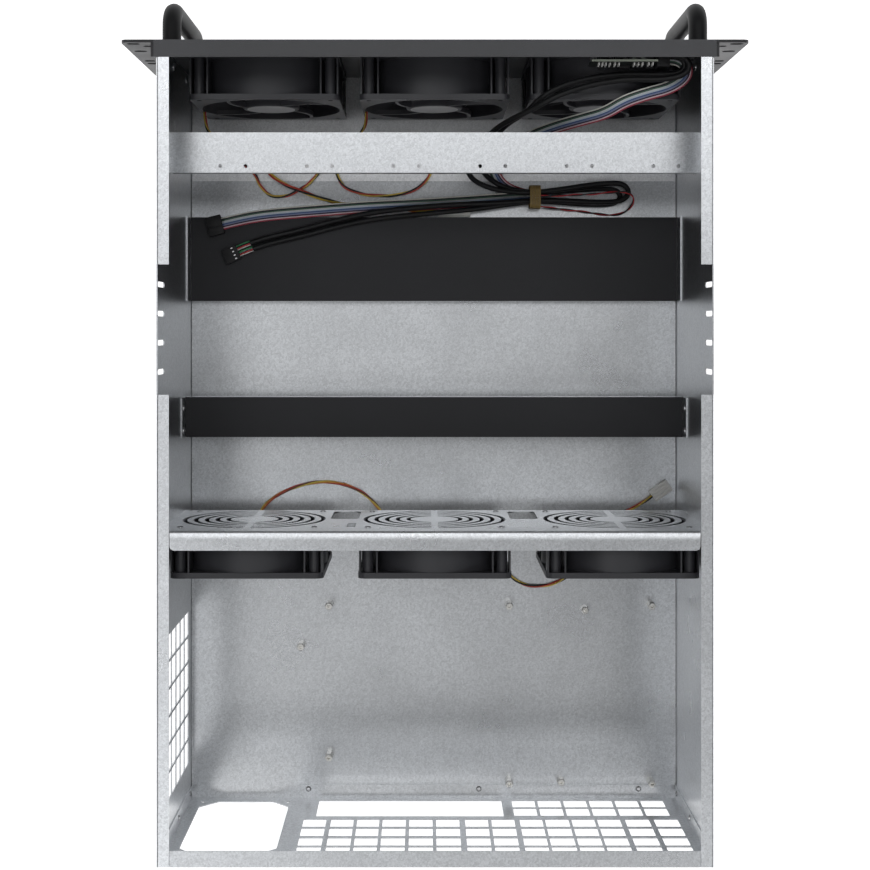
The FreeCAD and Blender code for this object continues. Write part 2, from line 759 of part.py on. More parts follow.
def make_fan_frame():
    """Fan housing with its intake at y=0: two square flanges, barrel, posts, hub and struts."""
    half = fan_size / 2
    post = fan_screw_pitch / 2
    rear = fan_depth
    pieces = [
        chamfered_bar_y(-half, half, 0, fan_flange, -half, half, fan_corner),
        chamfered_bar_y(-half, half, rear - fan_flange, rear, -half, half, fan_corner),
        prism_y(0, fan_flange, rear - fan_flange, 0, fan_barrel, fan_sides),
    ]
    for x in (-post, post):
        for z in (-post, post):
            pieces.append(prism_y(x, fan_flange, rear - fan_flange, z, fan_post, post_sides))
    shell = fuse(pieces).cut(prism_y(0, -past, rear + past, 0, fan_bore, fan_sides))
    base = prism_y(0, rear - fan_hub_base, rear, 0, fan_hub, hub_sides)
    reach = fan_bore / 2 / math.cos(math.pi / fan_sides) + fused_reach
    struts = []
    for turn in (45, 135, 225, 315):
        strut = box(fan_hub / 2 - fused_reach, reach, rear - fan_strut_depth, rear,
                    -fan_strut_width / 2, fan_strut_width / 2)
        strut.rotate(Vector(0, 0, 0), Vector(0, 1, 0), turn)
        struts.append(strut)
    frame = fuse([shell, base] + struts)
    bore = prism_y(0, rear - fan_hub_base - past, rear + past, 0, shaft + 2 * shaft_gap, hub_sides)
    return cut(frame, [bore])


def blade_section(radius, axial, slant, camber):
    """One blade section at this distance from the axis: a bent strip of even thickness."""
    middle = (rotor_front_gap + fan_depth - fan_hub_base - rotor_rear_gap) / 2
    line = [(-axial / 2, -slant), (0, -camber), (axial / 2, slant)]
    front = [Vector(radius, middle + y, s) for y, s in line]
    back = [Vector(radius, middle + y, s + blade_thickness) for y, s in reversed(line)]
    return front + back


def make_fan_rotor():
    """Hub cup, cambered blades and the shaft that turns in the frame's hub."""
    front = rotor_front_gap
    back = fan_depth - fan_hub_base - rotor_rear_gap
    tip_radius = fan_bore / 2 - rotor_tip_gap
    hub = round_inside_y(0, front, back, 0, rotor_hub, hub_sides)
    spindle = round_inside_y(0, back, fan_depth - spindle_end_gap, 0, shaft, hub_sides)
    tip_depth = back - front - blade_tip_gap
    spread = tip_depth / blade_root_depth
    tip_slant = blade_root_slant * spread
    tip_plane = math.sqrt(tip_radius ** 2 - (tip_slant + blade_thickness) ** 2)
    root_plane = rotor_hub / 2 * math.cos(math.pi / hub_sides) - fused_reach
    root = blade_section(root_plane, blade_root_depth, blade_root_slant, blade_root_camber)
    tip = blade_section(tip_plane, tip_depth, tip_slant, blade_root_camber * spread)
    blade = skin([root, tip])
    blades = []
    for i in range(rotor_blades):
        turned = blade.copy()
        turned.rotate(Vector(0, 0, 0), Vector(0, 1, 0), 360 * i / rotor_blades)
        blades.append(turned)
    return fuse([hub, spindle] + blades)


def screw_heads(places, y, height, away):
    """Flat round-cornered screw heads on a face at y, on the side given by away."""
    heads = []
    for x, z in places:
        start, end = sorted((y, y + away * height))
        heads.append(prism_y(x, start, end, z, screw_head, small_sides))
    return Part.makeCompound(heads)


def fan_corners(centre_x, centre_z):
    """The four screw places of one fan."""
    post = fan_screw_pitch / 2
    return [(centre_x + i * post, centre_z + j * post) for i in (-1, 1) for j in (-1, 1)]


# ---------------------------------------------------------------- standoffs, rivets and screws
def standoff(x, y, height, round_thread):
    """A hexagonal spacer on the floor with a blind thread in its top, drawn round or with flats."""
    post = prism_y(0, 0, height, 0, standoff_flats, 6)
    bottom = height - standoff_thread_depth
    if round_thread:
        thread = Part.makeCylinder(standoff_thread / 2, standoff_thread_depth + past, Vector(0, bottom, 0),
                                   Vector(0, 1, 0))
    else:
        thread = prism_y(0, bottom, height + past, 0, standoff_thread, small_sides)
    post = post.cut(thread)
    post.rotate(Vector(0, 0, 0), Vector(1, 0, 0), 90)
    post.translate(Vector(x, y, floor_z))
    return post


def board_places():
    """Places of the board's corner standoffs and, apart, of the ones between them and beyond."""
    corners = [(x, y) for x in board_columns_x[1:] for y in (board_rear_y, board_front_y)]
    others = [(board_columns_x[0], board_first_y), (board_columns_x[0], board_front_y)]
    others += [(x, board_middle_y) for x in board_columns_x]
    return corners, others


def rivet_z(x, y, z):
    """A rivet head on a level face."""
    head = prism_y(0, 0, rivet_height, 0, rivet_head, small_sides)
    head.rotate(Vector(0, 0, 0), Vector(1, 0, 0), 90)
    head.translate(Vector(x, y, z))
    return head


def rivet_x(side, x, y, z, across, height):
    """A round head on the inside of a side wall or a flange on it."""
    head = prism_y(0, 0, height, 0, across, small_sides)
    head.rotate(Vector(0, 0, 0), Vector(0, 0, 1), 90 * side)
    head.translate(Vector(side * x, y, z))
    return head


def make_panel_rivets():
    """Rivets that hold the rear panel's flanges to the floor and the side walls."""
    heads = [rivet_z(gap - wall_x, rear_y - floor_rivet_edge, floor_z + sheet)
             for gap in floor_rivet_wall_gaps]
    for side in (1, -1):
        heads += [rivet_x(side, wall_x - sheet, rear_y - wall_rivet_edge, z, rivet_head, rivet_height)
                  for z in wall_rivet_z]
    return Part.makeCompound(heads)


def make_side_screws():
    """Screws through the side walls: ears, beam tabs and the riser rail's tabs."""
    heads = []
    for side in (1, -1):
        ear_y = front_y + ear_leg_depth - ear_screw_edge
        heads += [rivet_x(side, wall_x, ear_y, z, rivet_head, screw_head_height) for z in ear_screw_z]
        beam_mid = beam_front_y + beam_width / 2
        heads.append(rivet_x(side, wall_x - sheet, beam_mid, beam_top_z - beam_screw_drop,
                             rivet_head, screw_head_height))
        rail_screw_z = rear_riser_top_z + rear_riser_tab - rear_riser_screw_drop
        rail_screws_y = (rear_riser_y + rear_riser_screw_edges[0],
                         rear_riser_y + rear_riser_width - rear_riser_screw_edges[1])
        heads += [rivet_x(side, wall_x - sheet, y, rail_screw_z, rivet_head, screw_head_height)
                  for y in rail_screws_y]
    return Part.makeCompound(heads)


# ---------------------------------------------------------------- front controls
def make_control_board():
    """The printed board behind the panel that carries ports, switches and lamps."""
    return box(control_board_left_x, control_board_left_x + control_board_width,
               board_front_face_y, board_rear_face_y,
               control_board_bottom_z, control_board_bottom_z + control_board_height)


def make_usb_ports():
    """Two hollow metal port shells from the board out through the panel."""
    shells = []
    wall = port_shell
    for centre_x in port_centres_x:
        x0, x1 = centre_x - port_width / 2, centre_x + port_width / 2
        z0, z1 = port_z - port_height / 2, port_z + port_height / 2
        body = box(x0, x1, front_y, board_front_face_y, z0, z1)
        pocket_end = board_front_face_y - port_pocket_end
        pocket = box(x0 + wall, x1 - wall, front_y - past, pocket_end, z0 + wall, z1 - wall)
        tongue = box(x0 + tongue_inset, x1 - tongue_inset, front_y + tongue_inset, pocket_end,
                     port_z + tongue_rise, port_z + tongue_rise + tongue_thickness)
        shells.append(fuse([body.cut(pocket), tongue]))
    return Part.makeCompound(shells)


def make_board_posts():
    """Round spacers that hold the board off the panel."""
    z = control_board_bottom_z + board_post_rise
    return Part.makeCompound([
        prism_y(x, panel_back_y, board_front_face_y, z, board_post, small_sides) for x in board_post_centres_x
    ])


def make_switch_bodies():
    """Two square tact switches under the buttons."""
    bodies = []
    for x in button_centres_x.values():
        bodies.append(box(x - switch_body / 2, x + switch_body / 2, switch_face_y, board_front_face_y,
                          button_z - switch_body / 2, button_z + switch_body / 2))
    return Part.makeCompound(bodies)


def make_button(name):
    """A round cap with a collar behind the panel and a stem that reaches the switch."""
    x = button_centres_x[name]
    size = button_sizes[name]
    collar_front = panel_back_y + button_clearance
    collar_rear = collar_front + button_collar_depth
    stem_end = switch_face_y - button_travel - button_stem_gap
    cap = round_inside_y(x, front_y - button_proud, collar_rear, button_z, size, hub_sides)
    collar = round_inside_y(x, collar_front, collar_rear, button_z, size + 2 * button_collar_rim, hub_sides)
    stem = prism_y(x, collar_rear, stem_end, button_z, min(button_stem, size), small_sides)
    return fuse([cap, collar, stem])


def make_lenses():
    """Clear light pipes from the lamps on the board to the panel's face."""
    return Part.makeCompound([
        prism_y(x, front_y - lens_proud, board_front_face_y, button_z, lens_size, small_sides)
        for x in lens_centres_x
    ])


# ---------------------------------------------------------------- wiring
def cord(name, points, diameter, sides):
    """A free cord, with its length, radii and volume reported."""
    radii = cord_radii(points)
    solid = tube(points, radii, diameter, sides)
    length = bent_line(points, radii)[-1][2]
    print(f"{name}: length {length:.0f}, radii " + " ".join(f"{r:.0f}" for r in radii))
    print(f"{name}: volume {solid.Volume:.0f} of {math.pi * diameter ** 2 / 4 * length:.0f}")
    return solid


def ribbon(name, points):
    """A flat cable kept level across its width along runs and arcs."""
    radii = cord_radii(points)
    stations = bent_line(points, radii)
    across = stations[0][1].cross(Vector(0, 0, 1)).normalize()
    rings = []
    for at, along, _ in stations:
        level = along.cross(Vector(0, 0, 1))
        if level.Length > 0.3:
            level.normalize()
            across = level if level.dot(across) > 0 else level * -1
        square = (across - along * across.dot(along)).normalize()
        half = square * (ribbon_width / 2)
        thin = square.cross(along) * (ribbon_thickness / 2)
        rings.append([at + half + thin, at - half + thin, at - half - thin, at + half - thin])
    solid = skin(rings)
    length = stations[-1][2]
    print(f"{name}: length {length:.0f}, radii " + " ".join(f"{r:.0f}" for r in radii))
    print(f"{name}: volume {solid.Volume:.0f} of {ribbon_width * ribbon_thickness * length:.0f}")
    return solid


def heading(degrees):
    """A level direction, measured from +X towards +Y."""
    return Vector(math.cos(math.radians(degrees)), math.sin(math.radians(degrees)), 0)


def plug(entry, degrees, size, z):
    """A block whose entry face is centred at entry and which lies ahead of it."""
    length, width, height = size
    block = box(0, length, -width / 2, width / 2, z, z + height)
    block.rotate(Vector(0, 0, 0), Vector(0, 0, 1), degrees)
    block.translate(Vector(entry[0], entry[1], 0))
    return block


def behind(entry, degrees, distance, z, aside=0.0):
    """A point that far behind a plug's entry face, and aside from its middle."""
    ahead = heading(degrees)
    left = heading(degrees + 90)
    spot = Vector(entry[0], entry[1], z) - ahead * distance + left * aside
    return (spot.x, spot.y, spot.z)


# routes of the front wiring: out of the header, over the right front fan, down behind it,
# under the beam and along the floor to the first riser
header_x = control_board_left_x - header_length
header_y = board_front_face_y - header_cable_inset
usb_end_z = front_pad_z + usb_plug_size[2] / 2
ribbon_end_z = front_pad_z + ribbon_plug_size[2] / 2
usb_routes = {
    "usb_cable_upper": [
        (header_x, header_y, 157.0), (-193.0, header_y, 157.0), (-200.0, -302.0, 155.5),
        (-195.0, -293.5, 152.5), (-177.0, -291.0, 149.0), (-150.0, -292.0, 147.0),
        (-122.0, -287.5, 146.5), (-96.0, -279.0, 147.0), (-76.0, -268.5, 139.0),
        (-59.0, -263.5, 113.0), (-47.0, -258.0, 85.0), (-37.0, -248.0, 60.0),
        (-28.0, -237.0, 38.0), (-31.0, -226.0, 24.0), (-46.0, -218.5, 16.5),
        (-66.0, -214.8, 14.2), (-88.0, -214.3, 14.4), (-110.0, -217.0, 13.6),
        (-134.0, -221.0, 11.0), (-153.0, -223.0, 9.9), (-166.5, -222.5, 9.6),
        (-171.5, -214.5, 9.6), (-165.0, -207.3, 9.8), (-150.0, -206.0, 10.5),
        (-130.0, -206.6, 12.0), (-108.0, -207.6, 14.2), (-88.0, -207.4, 14.4),
        (-62.0, -205.4, 15.0), (-34.0, -204.3, 15.9), (-4.0, -202.8, 16.6),
        (26.0, -200.0, 17.1), (56.0, -196.5, 17.5), (86.0, -189.8, 16.3),
        (116.0, -181.5, 15.7),
    ],
    "usb_cable_lower": [
        (header_x, header_y, 150.5), (-192.0, header_y, 150.5), (-197.0, -303.0, 149.5),
        (-193.0, -296.5, 147.0), (-176.0, -296.0, 143.0), (-150.0, -297.0, 140.6),
        (-122.0, -294.0, 140.6), (-98.0, -287.0, 140.8), (-84.0, -278.5, 140.0),
        (-75.0, -269.5, 125.0), (-61.0, -265.0, 94.0), (-50.0, -256.0, 66.0),
        (-41.0, -245.5, 42.0), (-40.0, -234.0, 24.0), (-50.0, -224.5, 13.0),
        (-66.0, -217.5, 8.9), (-88.0, -214.6, 9.0), (-110.0, -215.5, 8.4),
        (-132.0, -217.6, 5.6), (-149.0, -218.6, 4.4), (-160.5, -217.6, 4.3),
        (-164.5, -211.5, 4.3), (-160.0, -205.8, 4.4), (-147.0, -204.2, 4.9),
        (-128.0, -204.8, 6.6), (-108.0, -206.4, 8.8), (-88.0, -207.3, 9.0),
        (-60.0, -203.6, 9.6), (-32.0, -199.6, 12.0), (-2.0, -196.6, 15.0),
        (28.0, -193.9, 16.7), (58.0, -190.2, 16.4), (86.0, -184.1, 15.8),
        (112.0, -176.9, 15.6),
    ],
}
ribbon_route = [
    (header_x, header_y, 144.0), (-191.0, header_y, 144.0), (-198.5, -303.0, 143.6),
    (-198.0, -294.0, 142.0), (-186.0, -286.0, 140.0), (-168.0, -281.5, 139.5),
    (-150.0, -275.5, 139.0), (-136.0, -267.5, 129.0), (-120.0, -265.5, 108.0),
    (-99.0, -262.0, 86.0), (-78.0, -256.0, 64.0), (-60.0, -246.0, 42.0),
    (-51.0, -236.0, 19.5), (-55.0, -226.5, 6.8), (-65.0, -217.5, 3.2),
    (-84.0, -212.0, 2.7), (-98.0, -211.7, 2.6), (-104.4, -211.5, 2.0), (-104.4, -211.5, 5.2),
    (-98.0, -211.5, 5.1), (-84.0, -210.9, 4.9), (-60.0, -209.4, 5.2), (-30.0, -207.1, 6.6),
    (0.0, -204.9, 9.6), (28.0, -203.3, 12.4), (56.0, -201.9, 14.0),
    (88.0, -199.6, 14.1), (120.0, -197.0, 14.2), (148.0, -194.6, 14.6),
]
cord_routes = {
    "front_fan_lead_left": (lead, [
        (193.0, front_fan_rear_y, 60.0), (193.0, -271.0, 60.0), (192.0, -264.0, 50.0),
        (188.0, -257.0, 30.0), (180.0, -249.0, 12.0), (167.0, -241.0, 5.0),
        (157.0, -232.0, 5.0), (152.5, -221.0, 4.6), (145.0, -212.5, 3.2),
        (133.0, -211.0, 3.0), (120.0, -216.0, 3.4), (107.0, -225.0, 4.8),
        (99.0, -235.0, 5.4), (104.0, lead_plug_y, 5.4), (116.0, lead_plug_y, 5.4),
    ]),
    "front_fan_lead_centre": (lead, [
        (57.0, front_fan_rear_y, 60.0), (57.0, -271.0, 60.0), (60.0, -264.0, 50.0),
        (68.0, -258.0, 30.0), (78.0, -251.0, 12.0), (86.0, -241.0, 5.0),
        (85.0, -229.0, 4.9), (78.0, -219.0, 4.4), (63.0, -213.6, 3.2),
        (46.0, -212.2, 3.0), (28.0, -213.4, 3.2), (13.0, -219.0, 4.4),
        (4.0, -228.5, 5.0), (1.5, -238.5, 5.4), (-4.0, lead_plug_y, 5.4), (-14.0, lead_plug_y, 5.4),
    ]),
    "fan_power_lead": (lead + 0.6, [
        (130.0, lead_plug_y, 5.2), (141.0, lead_plug_y, 5.2), (147.0, -238.0, 5.2),
        (143.0, -230.0, 6.4), (131.0, -222.0, 9.0), (115.0, -215.5, 8.4),
        (98.0, -209.6, 5.4), (82.0, -205.4, 3.4), (62.0, -203.6, 3.1),
        (42.0, -202.0, 3.2), (22.0, -200.0, 4.2), (8.0, -198.0, 5.2), (*power_plug_entry, 5.2),
    ]),
    "lamp_pair": (pair_lead, [
        (-88.0, -203.2, 10.0), (-99.0, -202.0, 7.5), (-113.0, -200.4, 5.0),
        (-128.0, -199.0, 3.2), (-144.0, -196.6, 2.7), (-158.0, -195.1, 2.6),
        (-168.5, -198.0, 4.5), (-174.0, -204.0, 9.0), (-174.5, -211.0, 14.2),
        (-167.5, -215.0, 15.4), (-156.0, -214.5, 15.3), (-140.0, -213.0, 15.2),
        (-122.0, -212.0, 15.8), (-104.0, -211.2, 17.6), (-88.0, -210.9, 18.1),
    ]),
    "middle_fan_lead_left": (lead, [
        (150.0, 80.0, middle_fan_bottom_z), (150.0, 80.0, 26.0), (151.5, 74.0, 14.0),
        (152.0, 63.0, 5.5), (142.0, 53.0, 3.2), (125.0, 44.0, 2.8),
        (104.0, 38.6, 2.8), (84.0, 39.4, 2.8), (65.0, 46.0, 2.8),
        (51.0, 58.0, 2.9), (42.0, 71.0, 4.0), (32.0, 80.0, 4.6), (20.0, 80.0, 4.6),
    ]),
    "middle_fan_lead_centre": (lead, [
        (-50.0, 80.0, middle_fan_bottom_z), (-50.0, 80.0, 26.0), (-52.0, 87.0, 14.0),
        (-56.0, 98.0, 6.0), (-61.0, 112.0, 3.2), (-70.0, 125.0, 2.8),
        (-84.0, 131.0, 2.8), (-102.0, 130.0, 2.8), (-117.0, 123.0, 2.8),
        (-127.0, 111.0, 3.2), (-131.0, 99.0, 4.6), (-131.0, 88.0, 4.6),
    ]),
}
middle_lead_route = [
    (-150.0, 80.0, middle_fan_bottom_z), (-150.0, 80.0, 26.0), (-152.0, 75.0, 14.0),
    (-157.0, 69.0, 6.5), (-167.0, 64.5, 5.2),
]


build_list = {
    "chassis_tray": make_chassis_tray(),
    "rear_panel": make_rear_panel(),
    "front_panel": make_front_panel(),
    "card_beam": make_card_beam(),
    "front_base_plate": make_front_base_plate(),
    "front_riser_tray": make_front_riser_tray(),
    "front_riser_pad": make_pad(front_riser_y, front_riser_width, front_riser_top_z),
    "rear_riser_rail": make_rear_riser_rail(),
    "rear_riser_pad": make_pad(rear_riser_y, rear_riser_width, rear_riser_top_z),
    "fan_wall": make_fan_wall(),
    "control_board": make_control_board(),
    "usb_ports": make_usb_ports(),
    "board_posts": make_board_posts(),
    "switch_bodies": make_switch_bodies(),
    "indicator_lenses": make_lenses(),
    "rear_panel_rivets": make_panel_rivets(),
    "side_screws": make_side_screws(),
}
for side, name in side_names.items():
    build_list[name + "_rack_ear"] = make_rack_ear(side)
    build_list[name + "_handle"] = make_handle(side)
for name in button_centres_x:
    build_list[name] = make_button(name)

frame_model = make_fan_frame()
rotor_model = make_fan_rotor()
fan_rows = (
    ("front", front_fan_centres_x, front_fan_y, front_fan_centre_z),
    ("middle", middle_fan_centres_x, middle_fan_y, middle_fan_centre_z),
)
for row, centres_x, y, z in fan_rows:
    corners = []
    for name, x in zip(fan_names, centres_x):
        for kind, model in (("frame", frame_model), ("rotor", rotor_model)):
            placed = model.copy()
            placed.translate(Vector(x, y, z))
            build_list[f"{row}_fan_{kind}_{name}"] = placed
        corners += fan_corners(x, z)
    wall_face = y - (panel_sheet if row == "front" else fan_wall_sheet)
    build_list[row + "_fan_screws"] = screw_heads(corners, wall_face, screw_head_height, -1)

board_corners, board_others = board_places()
build_list["board_standoffs"] = Part.makeCompound(
    [standoff(x, y, standoff_height, True) for x, y in board_corners]
    + [standoff(x, y, standoff_height, False) for x, y in board_others])
build_list["short_standoffs"] = Part.makeCompound(
    [standoff(x_gap - wall_x, rear_y - y_gap, short_standoff_height, False)
     for x_gap, y_gap in short_standoff_places])

usb_ends = {"usb_cable_upper": -usb_cable_spread / 2, "usb_cable_lower": usb_cable_spread / 2}
for name, aside in usb_ends.items():
    ends = [behind(usb_plug_entry, usb_plug_heading, back, usb_end_z, aside) for back in (front_plug_run, 0)]
    build_list[name] = cord(name, usb_routes[name] + ends, usb_cable, cable_sides)
ribbon_ends = [behind(ribbon_plug_entry, ribbon_plug_heading, back, ribbon_end_z)
               for back in (front_plug_run, 0)]
build_list["ribbon_cable"] = ribbon("ribbon_cable", ribbon_route + ribbon_ends)
for name, (diameter, route) in cord_routes.items():
    build_list[name] = cord(name, route, diameter, lead_sides)
middle_ends = [behind(middle_plug_entry, middle_plug_heading, back, middle_lead_route[-1][2])
               for back in (middle_plug_run, 0)]
build_list["middle_fan_lead_right"] = cord(
    "middle_fan_lead_right", middle_lead_route + middle_ends, lead, lead_sides)

build_list["usb_plug"] = plug(usb_plug_entry, usb_plug_heading, usb_plug_size, front_pad_z)
build_list["ribbon_plug"] = plug(ribbon_plug_entry, ribbon_plug_heading, ribbon_plug_size, front_pad_z)
build_list["middle_fan_plug"] = plug(middle_plug_entry, middle_plug_heading, middle_plug_size, floor_z)
build_list["fan_power_plug"] = box(
    power_plug_entry[0] - power_plug_length, power_plug_entry[0],
    power_plug_entry[1] - power_plug_front, front_riser_y - power_plug_riser_gap,
    floor_z, floor_z + power_plug_height)
lead_plug_places = (
    ((116.0, lead_plug_y), 0, base_top_z), ((-14.0, lead_plug_y), 180, base_top_z),
    ((20.0, 80.0), 180, floor_z), ((-131.0, 88.0), 270, floor_z),
)
build_list["hidden_lead_plugs"] = Part.makeCompound(
    [plug(entry, degrees, lead_plug_size, z) for entry, degrees, z in lead_plug_places])
tie_x, tie_y = tie_corner
tie_length, tie_width, tie_height = tie_size
band = box(tie_x, tie_x + tie_length, tie_y, tie_y + tie_width, floor_z, floor_z + tie_height)
build_list["cable_tie"] = band.cut(box(
    tie_x - past, tie_x + tie_length + past, tie_y + tie_band, tie_y + tie_width - tie_band,
    floor_z + tie_band, floor_z + tie_height - tie_band))
build_list["cable_header"] = box(
    header_x, control_board_left_x, header_y - header_front_rim, board_rear_face_y + header_rear_rim,
    control_board_bottom_z, control_board_bottom_z + header_height)

for name, shape in build_list.items():
    save(name, shape)
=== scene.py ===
"""Open rackmount server case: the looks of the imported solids, in metres."""

import math

import bmesh
import bpy
from mathutils import Matrix, Vector


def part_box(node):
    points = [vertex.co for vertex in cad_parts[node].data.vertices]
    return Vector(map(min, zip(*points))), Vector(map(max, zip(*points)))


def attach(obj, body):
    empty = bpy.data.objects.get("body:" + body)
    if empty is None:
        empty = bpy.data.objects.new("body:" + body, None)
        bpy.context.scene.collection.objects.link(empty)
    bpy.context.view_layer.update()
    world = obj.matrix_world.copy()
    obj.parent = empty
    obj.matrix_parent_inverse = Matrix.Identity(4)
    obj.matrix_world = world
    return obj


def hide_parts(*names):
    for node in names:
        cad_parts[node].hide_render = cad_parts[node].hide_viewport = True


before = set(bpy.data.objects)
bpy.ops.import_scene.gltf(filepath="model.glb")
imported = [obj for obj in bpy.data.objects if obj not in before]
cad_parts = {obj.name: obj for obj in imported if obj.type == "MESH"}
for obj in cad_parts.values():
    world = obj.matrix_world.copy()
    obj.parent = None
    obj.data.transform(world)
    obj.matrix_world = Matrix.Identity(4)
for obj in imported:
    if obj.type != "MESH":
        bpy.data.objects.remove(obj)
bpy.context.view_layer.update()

# ---- sizes
full_turn = 2 * math.pi
quarter_turn = math.pi / 2
merge_distance = 1e-6

usb_cable_diameter = 0.0046
ribbon_width = 0.0105
lead_diameter = 0.003
power_lead_diameter = 0.0036
lamp_pair_diameter = 0.0022


